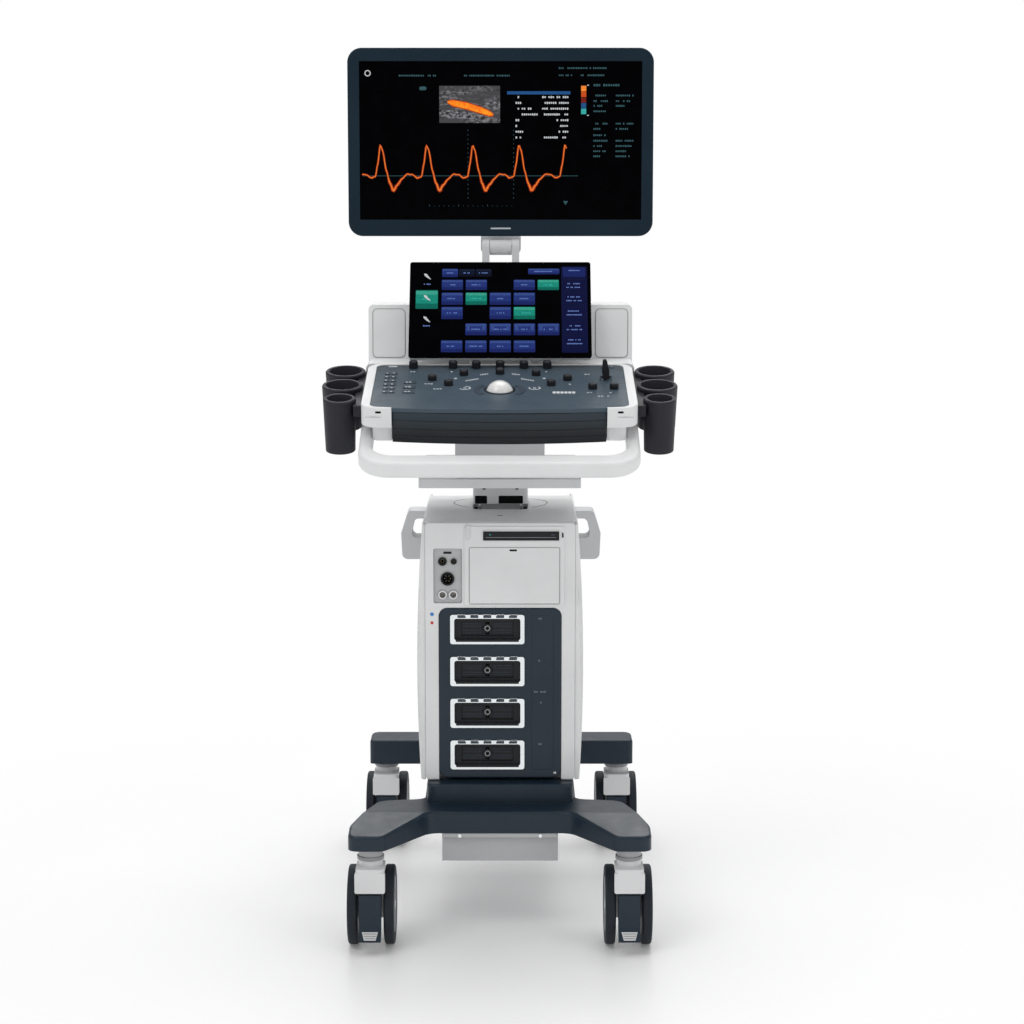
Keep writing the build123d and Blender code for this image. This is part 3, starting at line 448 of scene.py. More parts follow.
class Board:
    """Shapes drawn in millimetres on one face of the machine and made into one piece.

    across and up lie in the face, and heights are measured out of it.
    """

    def __init__(self, origin, across, up):
        across, up = Vector(across).normalized(), Vector(up).normalized()
        turn = Matrix((across, up, across.cross(up))).transposed().to_4x4()
        self.place = Matrix.Translation(Vector(origin)) @ turn @ Matrix.Scale(MM, 4)
        self.mesh = bmesh.new()
        self.finishes = []

    def slot_of(self, finish):
        """The number of a finish on this piece, which is added at its first use."""
        if finish not in self.finishes:
            self.finishes.append(finish)
        return self.finishes.index(finish)

    def face(self, corners, slot):
        face = self.mesh.faces.new(corners)
        face.material_index = slot

    def prism(self, outline, finish, low=0.0, high=0.15):
        """A closed flat shape with straight sides."""
        slot = self.slot_of(finish)
        bottom = [self.mesh.verts.new((x, y, low)) for x, y in outline]
        top = [self.mesh.verts.new((x, y, high)) for x, y in outline]
        self.face(top, slot)
        self.face(bottom[::-1], slot)
        for k in range(len(outline)):
            after = (k + 1) % len(outline)
            self.face([bottom[k], bottom[after], top[after], top[k]], slot)

    def ribbon(self, left, right, finish, low=0.0, high=0.15, closed=False):
        """A closed strip between two lines of points."""
        slot = self.slot_of(finish)
        rows = [[self.mesh.verts.new((x, y, z)) for x, y in line]
                for line, z in ((left, low), (right, low), (right, high), (left, high))]
        count = len(left)
        for k in range(count if closed else count - 1):
            after = (k + 1) % count
            for side in range(4):
                here, next_row = rows[side], rows[(side + 1) % 4]
                self.face([here[k], here[after], next_row[after], next_row[k]], slot)
        if not closed:
            self.face([row[0] for row in rows], slot)
            self.face([row[-1] for row in rows][::-1], slot)

    def bar(self, x, y, width, height, finish, radius=0.0, low=0.0, high=0.15):
        self.prism(rounded_outline(x, y, width, height, radius), finish, low, high)

    def ring(self, x, y, outer, inner, finish, start=0.0, sweep=360.0, low=0.0, high=0.15, steps=28):
        closed = sweep >= 360.0
        lines = [arc_points(x, y, radius, start, start + sweep, steps) for radius in (outer, inner)]
        if closed:
            lines = [line[:-1] for line in lines]
        self.ribbon(lines[0], lines[1], finish, low, high, closed)

    def frame(self, x, y, width, height, radius, line, finish, low=0.0, high=0.15):
        """An outline of a rounded rectangle."""
        outer = rounded_outline(x, y, width, height, radius, 6)
        inner = rounded_outline(x, y, width - 2 * line, height - 2 * line, max(radius - line, 0.2), 6)
        self.ribbon(outer, inner, finish, low, high, True)

    def turned(self, x, y, profile, finish, steps=32):
        """A solid of revolution from (radius, height) points, ending on the axis at both ends."""
        slot = self.slot_of(finish)
        loops = []
        for radius, height in profile:
            if radius == 0:
                loops.append([self.mesh.verts.new((x, y, height))] * steps)
            else:
                circle = arc_points(x, y, radius, 0, 360, steps)[:-1]
                loops.append([self.mesh.verts.new((a, b, height)) for a, b in circle])
        for lower, upper in zip(loops, loops[1:]):
            for k in range(steps):
                after = (k + 1) % steps
                corners = []
                for vert in (lower[k], lower[after], upper[after], upper[k]):
                    if vert not in corners:
                        corners.append(vert)
                self.face(corners, slot)

    def dashes(self, x, y, width, height, finish, seed, high=0.15):
        """A line of small plain blocks in place of printed words, starting at x."""
        chance = random.Random(seed)
        pitch = height * 0.95
        for k in range(int(width / pitch)):
            if chance.random() < 0.82:
                middle, tall = x + (k + 0.5) * pitch, height * chance.uniform(0.7, 1.0)
                self.bar(middle, y, pitch * 0.72, tall, finish, high=high)

    def build(self, name, body, slot):
        """Make the piece, which moves with a body."""
        self.mesh.transform(self.place)
        bmesh.ops.recalc_face_normals(self.mesh, faces=self.mesh.faces)
        for face in self.mesh.faces:
            face.smooth = True
        data = bpy.data.meshes.new(name)
        self.mesh.to_mesh(data)
        self.mesh.free()
        data.set_sharp_from_angle(angle=math.radians(35))
        for finish in self.finishes:
            data.materials.append(finish)
        piece = put_in_scene(name, data)
        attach(piece, body)


def board_on(node, start, direction, across):
    """A board on the first surface of a node met from a point, in millimetres, along a direction."""
    met, place, normal, _ = frame["nodes"][node].ray_cast(Vector(start) * MM, Vector(direction))
    if not met:
        raise ValueError(f"nothing of {node} lies along that line")
    across = Vector(across)
    return Board(place, across, normal.cross(across))


def front_board(node, x, z):
    """A board on a node's front, met from the operator's side."""
    return board_on(node, (x, -600, z), Y, X)


def rear_board(node, x, z):
    """A board on a node's back."""
    return board_on(node, (x, 600, z), -Y, -X)


def screw(board, x, y, radius, finish=GREY):
    """A pan-head screw with a cross recess."""
    head = [(0, 0), (radius, 0), (radius, 0.5), (radius * 0.8, 1.1), (radius * 0.4, 1.3), (0, 1.3)]
    board.turned(x, y, head, finish, 20)
    long, thin = radius * 1.1, radius * 0.28
    # painted shade: the cross recess is two near-black bars laid on the head
    board.bar(x, y, long, thin, RECESS, low=1.2, high=1.36)
    board.bar(x, y, thin, long, RECESS, low=1.2, high=1.36)


# ---- monitor
# places in the picture are shares of its width and height
FIRST_PEAK = 0.073
BEAT = 0.1638
BASELINE = 0.279
HEARTBEAT = ((-0.30, 0.006), (-0.20, -0.014), (-0.11, -0.006), (-0.06, 0.07), (0.0, 0.195), (0.05, 0.16),
             (0.13, 0.03), (0.20, -0.045), (0.28, -0.096), (0.36, -0.06), (0.46, -0.022), (0.58, 0.010),
             (0.70, 0.006))


def trace_height(phase):
    """Height of the trace over its baseline at a phase of one heartbeat, eased between key points."""
    for (start, low), (end, high) in zip(HEARTBEAT, HEARTBEAT[1:]):
        if phase <= end:
            share = max(0.0, (phase - start) / (end - start))
            eased = 0.45 * share + 0.55 * share * share * (3 - 2 * share)
            return low + (high - low) * eased
    return HEARTBEAT[-1][1]


def monitor_trace(board, at):
    """Four and a half beats: a wide dark fringe, an orange body and a bright core."""
    chance = random.Random(7)
    start, end, steps = 0.008, 0.733, 300
    line = []
    for k in range(steps + 1):
        u = start + (end - start) * k / steps
        beats = (u - FIRST_PEAK) / BEAT
        phase = beats - math.floor(beats + 0.3)
        line.append((u, BASELINE + trace_height(phase) + chance.uniform(-0.002, 0.002)))
    points = [at(u, v) for u, v in line]
    for width, finish, low in ((7.0, LIT_RED, 0.0), (4.4, LIT_ORANGE, 0.1), (1.6, LIT_YELLOW, 0.2)):
        left, right = [], []
        for k, (x, y) in enumerate(points):
            before, after = points[max(k - 1, 0)], points[min(k + 1, steps)]
            slope = Vector((after[0] - before[0], after[1] - before[1])).normalized()
            low_down = min(1.0, max(0.0, (BASELINE - line[k][1]) / 0.1))
            half = 0.5 * width * (0.5 + 0.5 * low_down) * chance.uniform(0.85, 1.15)
            left.append((x - slope.y * half, y + slope.x * half))
            right.append((x + slope.y * half, y - slope.x * half))
        board.ribbon(left, right, finish, low, low + 0.12)


def vessel(board, at):
    """A lit vessel that slants through the ultrasound image."""
    spine = [at(0.312, 0.745), at(0.33, 0.738), at(0.38, 0.720), at(0.43, 0.692), at(0.46, 0.672),
             at(0.474, 0.664)]
    layers = ((LIT_FLOW_EDGE, (5, 12, 13.5, 13, 11, 5), 0.1), (LIT_FLOW, (2, 9, 10, 9.5, 8, 2), 0.15))
    for finish, thick, low in layers:
        upper = [(x, y + t / 2) for (x, y), t in zip(spine, thick)]
        lower = [(x, y - t / 2) for (x, y), t in zip(spine, thick)]
        board.ribbon(upper, lower, finish, low, low + 0.1)


def monitor_image():
    """The picture on the monitor: trace, ultrasound image, measurements and settings."""
    low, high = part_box("monitor_screen")
    width, height = (high.x - low.x) / MM, (high.z - low.z) / MM
    board = Board(((low.x + high.x) / 2, low.y, (low.z + high.z) / 2), X, Z)

    def at(u, v):
        return ((u - 0.5) * width, (v - 0.5) * height)

    def cell(u0, u1, v0, v1, finish):
        middle = at((u0 + u1) / 2, (v0 + v1) / 2)
        board.bar(*middle, (u1 - u0) * width, (v1 - v0) * height, finish, high=0.1)

    cell(0.010, 0.775, 0.2765, 0.2795, LIT_DIM)
    monitor_trace(board, at)
    cell(0.283, 0.498, 0.613, 0.846, SPECKLE)
    vessel(board, at)
    cell(0.523, 0.747, 0.792, 0.812, LIT_BLUE)
    for row in range(8):
        v = 0.775 - row * 0.0363
        name_width = (12, 12, 31, 38, 9, 9, 15, 12)[row]
        value_width = (46, 42, 46, 43, 22, 16, 22, 43)[row]
        board.dashes(*at(0.552, v), name_width, 3.6, LIT_WHITE, 20 + row)
        x, y = at(0.744, v)
        board.dashes(x - value_width, y, value_width, 3.6, LIT_WHITE, 40 + row)
    for k, finish in enumerate((LIT_YELLOW, LIT_ORANGE, LIT_RED, LIT_BLUE, LIT_CYAN)):
        cell(0.785, 0.803, 0.812 - 0.036 * k, 0.846 - 0.036 * k, finish)
    for v in (0.85, 0.66):
        cell(0.806, 0.812, v - 0.003, v + 0.003, LIT_WHITE)
    board.dashes(*at(0.828, 0.850), 44, 4.2, LIT_DIM, 60)
    rows = (0.785, 0.75, 0.72, 0.686, 0.608, 0.575, 0.535, 0.5, 0.467, 0.434, 0.402)
    for k, v in enumerate(rows):
        board.dashes(*at(0.828, v), 22 + 6 * math.sin(k * 2.1), 3.2, LIT_DIM, 70 + k)
        if k != 3 and k != 6:
            board.dashes(*at(0.907, v), 26 + 6 * math.cos(k * 1.7), 3.2, LIT_DIM, 90 + k)
    top_lines = ((0.133, 0.91, 68), (0.37, 0.91, 79), (0.705, 0.957, 80), (0.705, 0.912, 24),
                 (0.776, 0.912, 43))
    for seed, (u, v, long) in enumerate(top_lines, start=111):
        board.dashes(*at(u, v), long, 3.0, LIT_DIM, seed)
    board.ring(*at(0.03, 0.925), 5.2, 3.6, LIT_WHITE)
    board.bar(*at(0.225, 0.83), 12, 6, LIT_DIM, 2.9)
    for u in (0.384, 0.546):
        for k in range(16):
            v = 0.57 - k * 0.0285
            cell(u - 0.0008, u + 0.0008, v - 0.008, v, LIT_DIM)
    for k in range(18):
        u = 0.247 + k * 0.0172
        tall = 0.010 if k % 6 == 0 else 0.004
        cell(u - 0.0008, u + 0.0008, 0.085, 0.085 + tall, LIT_DIM)
    x, y = at(0.731, 0.108)
    board.prism([(x, y - 4), (x + 4, y + 2.5), (x - 4, y + 2.5)], LIT_DIM)
    board.build("monitor_image", "monitor", "screen_glass")


def monitor_details():
    """Standby light on the bezel, vents and screws on the back."""
    low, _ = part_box("monitor_shell")
    bezel = front_board("monitor_shell", 0, low.z / MM + 13)
    bezel.bar(0, 0, 34, 2.6, PRINT, 1.2, high=0.25)
    bezel.build("monitor_light", "monitor", "navy_plastic")
    back = rear_board("monitor_shell", -95, 1300)
    # painted shade: the vent slots are flat near-black bars on the back
    for row in range(9):
        for side in (0, -190):
            back.bar(side, 18 - row * 9, 62, 3.6, RECESS, 1.7, high=0.25)
    back.build("monitor_vents", "monitor", "white_plastic")
    screws = rear_board("monitor_shell", 205, 1370)
    for x in (0, 410):
        for y in (0, -240):
            screw(screws, x, y, 3.4)
    screws.build("monitor_screws", "monitor", "socket_metal")


# ---- touch screen
TOUCH_LEAN = math.radians(34)
TOUCH_GLASS_THICK = 3.0
BUTTON_WIDTH = 34.5
SIDE_PANEL_X = 119.7
PROBE_LIST_X = -118.5
TOUCH_ROWS = (                        # place up the glass, height, and b or t for a blue or teal button
    (134.8, 19.5, "bb.bt"), (108.8, 23, "btbb."), (82.0, 23, "b.bt."), (51.6, 22, ".bbbb"),
    (20.2, 22, "bbbb."),
)
SLIDER_ROW = 3


def touch_board():
    """A board on the leaning glass, from the middle of its lower edge."""
    low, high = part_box("touch_glass")
    up = Vector((0, math.sin(TOUCH_LEAN), math.cos(TOUCH_LEAN)))
    z = low.z + TOUCH_GLASS_THICK * MM * math.sin(TOUCH_LEAN)
    return Board(((low.x + high.x) / 2, low.y, z), X, up)


def touch_button(board, x, y, width, height, tone, words, seed):
    """A lit button: three bands that grow lighter upwards, and a line of plain blocks."""
    low_tone, mid_tone, top_tone = BUTTON_TONES[tone]
    board.bar(x, y, width, height, low_tone, 1.6, high=0.08)
    board.bar(x, y + height * 0.12, width - 0.8, height * 0.68, mid_tone, 1.2, low=0.08, high=0.12)
    board.bar(x, y + height * 0.36, width - 1.6, height * 0.2, top_tone, 0.9, low=0.12, high=0.16)
    span = 6 + 5 * words
    board.dashes(x - span / 2, y, span, 2.2, LIT_TEXT if tone != "teal" else LIT_CYAN, seed, high=0.2)


def probe_icon(board, x, y, size):
    """A small slanting probe."""
    outline = ((-0.5, 0.2), (0, -0.3), (0.62, -0.68), (0.7, -0.62), (0.3, -0.1), (-0.1, 0.5), (-0.55, 0.55))
    board.prism([(x + size * a, y + size * b) for a, b in outline], LIT_WHITE, 0.16, 0.22)


def touch_buttons(board):
    """The grid of buttons. Those of one row have a bright stud at either end."""
    tones = {"b": "blue", "t": "teal"}
    for r, (y, height, pattern) in enumerate(TOUCH_ROWS):
        for c, mark in enumerate(pattern):
            x = -77.5 + 38.8 * c
            if mark in tones:
                touch_button(board, x, y, BUTTON_WIDTH, height, tones[mark], 1 + (r + c) % 3, 10 * r + c)
            if mark == "b" and r == SLIDER_ROW:
                for side in (-1, 1):
                    stud = BUTTON_TONES["blue"][2]
                    board.bar(x + side * 12.5, y + 2, 5, 8, stud, 1, low=0.16, high=0.2)


def touch_image():
    """The picture on the touch screen: buttons, tabs above, probes at the left, a column at the right."""
    board = touch_board()
    touch_buttons(board)
    touch_button(board, -81.5, 157.3, 26, 16, "blue", 1, 61)
    touch_button(board, -54, 157.3, 26, 15, "dark", 2, 62)
    touch_button(board, -27, 157.3, 26, 15, "dark", 2, 63)
    touch_button(board, 70.5, 160.2, 51, 11, "blue", 5, 64)
    board.bar(SIDE_PANEL_X, 88.5, 42, 160, LIT_PANEL, 1.0, high=0.08)
    for k, y in enumerate((159, 134, 109, 82.5, 55, 29)):
        board.frame(SIDE_PANEL_X, y, 38, 21.5, 1.2, 0.5, BUTTON_TONES["dark"][2], 0.08, 0.14)
        if k == 0:
            board.bar(SIDE_PANEL_X, y, 36, 18, BUTTON_TONES["blue"][0], 1.0, low=0.08, high=0.12)
        board.dashes(108.5, y + 3, 22, 2.4, LIT_TEXT, 70 + k, high=0.2)
        if k:
            board.dashes(106.5, y - 4, 26, 2.4, LIT_TEXT, 80 + k, high=0.2)
    touch_button(board, PROBE_LIST_X, 107.3, 36, 35, "teal", 2, 90)
    for y in (151, 110.5, 70.5):
        probe_icon(board, PROBE_LIST_X, y, 9)
    for k, y in enumerate((136, 58)):
        board.dashes(-124, y, 12, 2.4, LIT_TEXT, 95 + k, high=0.2)
    board.build("touch_image", "touch_screen", "screen_glass")


# ---- control panel
KNOB_ROW = 98.0              # the knobs' place up the panel
KNOB_PIVOT = 3.0             # height of their joints over the panel
KNOB_TOP = 11.5
KEY_TOP = 9.0
KEY_PLACES = ((-57, 59), (57, 59), (-106, 32), (106, 32), (-80, 4.5), (80, 4.5), (144, -14), (177, -14),
              (0, 66))
BALL_UP = -22.0


def panel_frame():
    """Origin and upward direction of the sloping control panel, from its middle knob."""
    joint = JOINTS["menu_knob_4_turn"]
    normal = Vector(joint["axis"])
    up = normal.cross(X)
    origin = Vector(joint["pos_m"]) - (KNOB_ROW * up + KNOB_PIVOT * normal) * MM
    return origin, up, normal


def panel_board(height=0.0):
    """A board on the control panel, or at a height over it."""
    origin, up, normal = panel_frame()
    return Board(origin + normal * height * MM, X, up)


def flat_key(board, x, y, width, height, seed):
    """A low rectangular key with a line of plain blocks on it."""
    board.bar(x, y, width, height, KEY_FACE, 1.2, high=0.9)
    board.dashes(x - width * 0.38, y, width * 0.78, height * 0.42, PRINT, seed, high=1.0)


def panel_keys():
    """Flat keys in two columns at the left and a row at the right."""
    board = panel_board()
    for row in range(6):
        y = 66 - row * 19.8
        for x in (-177, -166.5):
            flat_key(board, x, y, 9, 11, 200 + row)
    for row in range(3):
        flat_key(board, -140.5, 17 - row * 25, 19, 13, 220 + row)
    for k in range(6):
        board.bar(84 + k * 6.0, -37.6, 4.9, 9, PALE, 1.0, high=0.9)
    flat_key(board, 171, 100, 22, 7, 231)
    board.bar(-171, 105, 14, 6, PRINT, 1.0, high=0.2)
    board.build("panel_keys", "console", "slate_plastic")


def panel_legends():
    """Printed marks beside the knobs and round the trackball, as plain blocks and rings."""
    board = panel_board()
    for side in (-1, 1):
        for x, y, length, rise in ((26, 61.5, 15, -0.35), (44.5, 31.5, 23, -0.55)):
            for k in range(int(length / 2.6)):
                step = -length / 2 + (k + 0.5) * 2.6
                board.bar(side * (x + step), y + rise * step, 2.0, 6.0, PRINT)
        board.ring(side * 54, -12, 9.5, 7.0, PRINT, 200 if side < 0 else 160, 250)
        board.bar(side * 54, -12, 5, 5, PRINT, 1.0)
        board.bar(side * 69.5, 39.6, 4.5, 6.5, PRINT, 1.0)
    for x, y, width in ((-109, 10, 18), (-96, -16.7, 15), (109, 8, 14), (140, -36, 13), (174.5, -36, 12),
                        (160, -54.6, 20), (138, 62, 10), (-138, 76, 10), (-75, 76, 8), (75, 76, 8)):
        board.dashes(x - width / 2, y, width, 5.0, PRINT, int(300 + x + y))
    board.build("panel_legends", "console", "slate_plastic")


def trackball_shade_rim():
    """A dark ring round the ball, painted shade where the ball's shadow falls on its rim, and a curved key face
    either side of it.
    """
    board = panel_board(1.0)
    # painted shade: a dark ring round the foot of the ball where its shadow falls
    board.ring(0, BALL_UP, 24.6, 21.6, BLACK, low=0.0, high=0.35, steps=64)
    for side in (-1, 1):
        board.ring(0, BALL_UP, 40, 31, KEY_FACE, 90 - side * 90 - 42, 84, low=-1.0, high=-0.1)
    board.build("trackball_shade_rim", "console", "black_plastic")


def knob_marks():
    """A cap disc and a pointer line on every turning knob."""
    _, up, normal = panel_frame()
    for number in range(1, 7):
        body = f"menu_knob_{number}"
        top = Vector(JOINTS[body + "_turn"]["pos_m"]) + normal * (KNOB_TOP - KNOB_PIVOT) * MM
        board = Board(top, X, up)
        board.turned(0, 0, [(0, -0.05), (4.6, -0.05), (4.6, 0.1), (4.2, 0.35), (0, 0.5)], BLACK, 28)
        board.bar(0, 3.0, 0.9, 3.0, PRINT, 0.3, low=0.3, high=0.55)
        board.build(f"knob_cap_{number}", body, "black_plastic")


def key_marks():
    """A faint ring on every round key."""
    board = panel_board(KEY_TOP)
    for x, y in KEY_PLACES:
        board.ring(x, y, 3.6, 3.0, DIM_PRINT, low=-0.05, high=0.08, steps=20)
    board.build("key_marks", "console", "black_plastic")


def bezel_details():
    """Dark slots and seam lines on the front corners of the bezel."""
    low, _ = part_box("console_bezel")
    z = low.z / MM
    for side, name in SIDES:
        board = front_board("console_bezel", side * 183, z + 24)
        # painted shade: the slot is a flat near-black bar
        board.bar(0, 0, 9, 3.2, RECESS, 1.5, high=0.25)
        board.bar(0, -7.5, 40, 0.6, SEAM, high=0.2)
        board.build(f"bezel_slot_{name}", "console", "white_plastic")


def wing_panels():
    """A raised pad with a shadow gap on each wing beside the touch screen."""
    for side, name in SIDES:
        board = front_board("console_wings", side * 181, 945)
        board.frame(0, 0, 54, 80, 8, 1.1, SEAM, high=0.15)
        board.bar(0, 0, 51.4, 77.4, WHITE, 6.8, high=0.7)
        board.build(f"wing_pad_{name}", "console", "white_plastic")


def keyboard_marks():
    """Pale marks on the keyboard's keys."""
    board = panel_board(-36.5)
    for row in range(4):
        for column in range(14):
            x = -124.2 + column * 19 + row * 1.5
            board.bar(x - 2.5, 14.5 - row * 21, 4, 3, PRINT, 0.5, high=0.15)
    board.build("keyboard_marks", "keyboard", "slate_plastic")


CUP_PLACES = ((96.0, 32.0), (20.0, 32.0), (-50.0, 25.5))   # place up the panel, radius
CUP_X = 246.0
CUP_MOUTH = -5.0


def cup_liners():
    """A soft grey lip round the mouth of each cup."""
    for side, name in SIDES:
        board = panel_board(CUP_MOUTH)
        for y, radius in CUP_PLACES:
            inner = radius - 4.6
            lip, sleeve = (radius - 1.4, inner - 0.2, -0.1), (inner + 0.2, inner - 1.4, -16)
            for outside, inside, low in (lip, sleeve):
                board.ring(side * CUP_X, y, outside, inside, CUP_LINER, low=low, high=0.7, steps=48)
        board.build(f"cup_liners_{name}", "console", "cup_plastic")


# ---- tower
SOCKET_X = -20.5
SOCKET_TOP = 480.0
SOCKET_PITCH = 68.5
SOCKETS = [SOCKET_TOP - SOCKET_PITCH * k for k in range(4)]


def socket_contacts():
    """Rows of contacts inside each probe socket, either side of its lock."""
    board = front_board("socket_inserts", SOCKET_X - 30, SOCKETS[0] - 6)
    for z in SOCKETS:
        for row in (-7.5, -3.5, 3.5, 7.5):
            for column in range(26):
                x = -38 + column * 3.04
                if abs(x) > 10:
                    board.bar(x + 30, z - SOCKETS[0] + 6 + row, 1.5, 2.2, KEY_FACE, high=0.5)
    board.build("socket_contacts", "cart", "black_plastic")


def socket_rims():
    """Dark finger notches in the top of each socket's bright rim, and a thin sill below its opening."""
    board = front_board("socket_frames", SOCKET_X, SOCKETS[0] - 21)
    for z in SOCKETS:
        shift = z - SOCKETS[0] + 21
        board.bar(0, shift - 18.4, 101, 3.4, BLACK, 0.8, low=-0.1, high=0.2)
        for k in range(-2, 3):
            board.bar(k * 20.5, shift + 20.4, 13, 3.2, KEY_FACE, 0.8, low=-0.1, high=0.2)
    board.build("socket_rims", "cart", "socket_metal")


def socket_locks():
    """The turning lock in the middle of each socket."""
    for number, z in enumerate(SOCKETS, start=1):
        board = front_board("socket_inserts", SOCKET_X + 20, z)
        diamond = arc_points(-20, 0, 8.5, 0, 360, 4)[:-1]
        board.prism(diamond, BLACK, -1, 1.4)
        board.ring(-20, 0, 4.6, 3.2, GREY, low=1.3, high=1.7)
        for size in ((7.5, 1.2), (1.2, 7.5)):
            board.bar(-20, 0, *size, RECESS, low=1.35, high=1.5)
        board.build(f"socket_lock_{number}", "cart", "black_plastic")


def panel_labels():
    """Plain blocks on the connector panel's label strip, and its corner screw."""
    board = front_board("connector_panel", 67, 340)
    for k, z in enumerate(SOCKETS):
        board.dashes(-6, z + 17 - 340, 9, 3.2, DIM_PRINT, 400 + k)
    board.bar(-19, 37.5, 3.5, 3.5, DIM_PRINT, 0.6)
    board.dashes(-13, 37.5, 22, 3.4, DIM_PRINT, 410)
    screw(board, 21, -96, 2.6, BRIGHT)
    board.build("connector_labels", "cart", "navy_plastic")


def front_cover_details():
    """Gaps round the service door, the drive's bezel, a pale strip painted as the highlight on a curved step, and
    small generic marks.
    """
    door = front_board("tower_front_cover", 23, 566)
    door.frame(0, 0.5, 145, 92, 3, 0.9, SEAM, high=0.2)
    door.bar(-2, 41.5, 12, 3, BLACK, 1.4, high=0.25)
    door.build("service_door_gap", "cart", "white_plastic")
    face = front_board("tower_front_cover", 98.5, 631)
    face.frame(-65, 0, 125, 18.5, 3, 1.8, PALE, high=0.9)
    face.bar(1.3, 1, 2.4, 8, BLACK, 1.1, high=1.0)
    face.build("drive_bezel", "cart", "white_plastic")
    # painted highlight: a pale raised strip where a curved step on the cover catches light
    bump = front_board("tower_front_cover", -51, 636)
    bump.bar(0, 0, 6.5, 25, PALE, 3.2, high=1.6)
    bump.build("step_highlight_strip", "cart", "white_plastic")
    marks = front_board("tower_front_cover", -109, 497)
    marks.turned(0, 7, [(0, 0), (3, 0), (3, 0.2), (0, 0.25)], BLUE_MARK, 24)
    marks.bar(0, -7, 4.5, 4.5, RED_MARK, 0.8, high=0.2)
    marks.build("front_marks", "cart", "white_plastic")


JACKS = ((-92, 589, 5.5, BLACK), (-74, 589, 3.4, BLACK), (-84, 561, 9.5, BLACK), (-92, 535, 6.0, PALE),
         (-75, 535, 6.0, PALE))       # x, z, radius, collar


def jack_rings():
    """Collars on the patient-lead jacks, with contacts inside."""
    low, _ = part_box("physio_module")
    board = Board((0, low.y, 0), X, Z)
    for x, z, radius, finish in JACKS:
        board.ring(x, z, radius + 1.3, radius - 1.2, finish, low=-1.0, high=0.7)
        board.ring(x, z, radius + 1.9, radius + 1.2, SEAM, low=-2.3, high=-1.9)
        board.turned(x, z, [(0, -13.9), (radius - 0.2, -13.9), (radius - 0.2, -6), (0, -6)],
                     RECESS if finish is BLACK else GREY, 24)
        for k in range(6):
            angle = math.radians(60 * k)
            spot = (x + radius * 0.5 * math.cos(angle), z + radius * 0.5 * math.sin(angle))
            board.turned(*spot, [(0, -6.1), (0.7, -6.1), (0.7, -4), (0, -3.6)], GILT, 10)
    board.bar(-84, 603, 13, 3.6, BLACK, 0.6, low=-2.6, high=-2.2)
    board.build("jack_rings", "cart", "black_plastic")


def tray_details():
    """Seam, button and light on the disc tray's front."""
    low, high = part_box("disc_tray")
    board = Board((0, low.y, (low.z + high.z) / 2), X, Z)
    board.bar(33, -2.2, 112, 0.7, GREY, high=0.15)
    board.bar(84, 2.2, 7, 2.6, KEY_FACE, 1.2, high=0.6)
    board.bar(-16, 2.2, 2.0, 2.0, LIT_CYAN, 0.9, high=0.2)
    board.build("tray_details", "disc_tray", "black_plastic")


LID_MIDDLE_Y = 25.0
SEAM_RADIUS = 77.5


def lid_seam():
    """A round seam in the crowned lid, open where the well for the column crosses it."""
    lid = frame["nodes"]["tower_top_cover"]
    board = Board((0, 0, 0), X, Y)
    board.ring(0, LID_MIDDLE_Y, SEAM_RADIUS + 0.9, SEAM_RADIUS - 0.9, SEAM, -47.5, 275, low=-0.3, high=0.25,
               steps=55)
    for corner in board.mesh.verts:
        met, place, _, _ = lid.ray_cast(Vector((corner.co.x * MM, corner.co.y * MM, 1.0)), -Z)
        if not met:
            raise ValueError("the lid's seam runs over its well")
        corner.co.z += place.z / MM
    board.build("lid_seam", "cart", "white_plastic")


def lid_details():
    """A small mark in front of the column, and a dark frame round it that stands for its gaiter and paints the
    shade in the well.
    """
    mark = board_on("tower_top_cover", (0, -105, 900), -Z, X)
    mark.bar(0, 0, 9, 3, KEY_FACE, 1.2, high=0.25)
    mark.build("lid_mark", "cart", "white_plastic")
    _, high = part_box("tower_top_cover")
    # painted shade: a near-black frame in the well round the column, standing partly for the gaiter
    well = Board((0, 0.013, high.z - 14.5 * MM), X, Y)
    well.frame(0, 0, 89, 129, 9, 6.2, RECESS, low=-3, high=0)
    well.build("gaiter_and_well_shade", "cart", "black_plastic")


def side_screws():
    """Two screws low on each side cover."""
    for side, name in SIDES:
        board = board_on(f"tower_{name}_cover", (side * 300, 40, 262), (-side, 0, 0), (0, side, 0))
        for y in (-150 * side, 150 * side):
            screw(board, y, 0, 3.2)
        board.build(f"side_screws_{name}", "cart", "white_plastic")


def rear_ports():
    """A panel of sockets, a rating label with plain blocks, and the rear cover's four screws."""
    board = rear_board("tower_rear_cover", 0, 560)
    board.bar(0, 18, 150, 44, NAVY, 4, high=1.0)
    for k in range(3):
        board.bar(-58 + k * 17, 24, 12.5, 5, RECESS, 0.6, low=0.9, high=1.3)
        board.bar(-58 + k * 17, 22.6, 9.5, 1.4, PALE, 0.2, low=1.2, high=1.5)
    board.bar(0, 24, 16, 12, GREY, 0.8, low=0.9, high=1.8)
    board.bar(0, 24, 12, 8.5, RECESS, 0.6, low=1.7, high=2.0)
    for x in (26, 50):
        board.bar(x, 24, 18, 7, GREY, 2.6, low=0.9, high=1.8)
        board.bar(x, 24, 15, 4.6, RECESS, 1.8, low=1.7, high=2.0)
    round_socket = [(0, 0.9), (4.2, 0.9), (4.2, 2.4), (3.4, 2.8), (1.6, 2.8), (1.6, 2.2), (0, 2.2)]
    for k in range(5):
        board.turned(-58 + k * 13, 7, round_socket, BRIGHT, 20)
    board.bar(60, -38, 52, 30, PALE, 1.5, high=0.25)
    for k in range(4):
        board.dashes(38, -28 - 6 * k, 40 - 7 * (k % 2), 2.2, SEAM, 500 + k, high=0.35)
    for x in (-108, 108):
        for y in (66, -312):
            screw(board, x, y, 3.6)
    board.build("rear_ports", "cart", "navy_plastic")


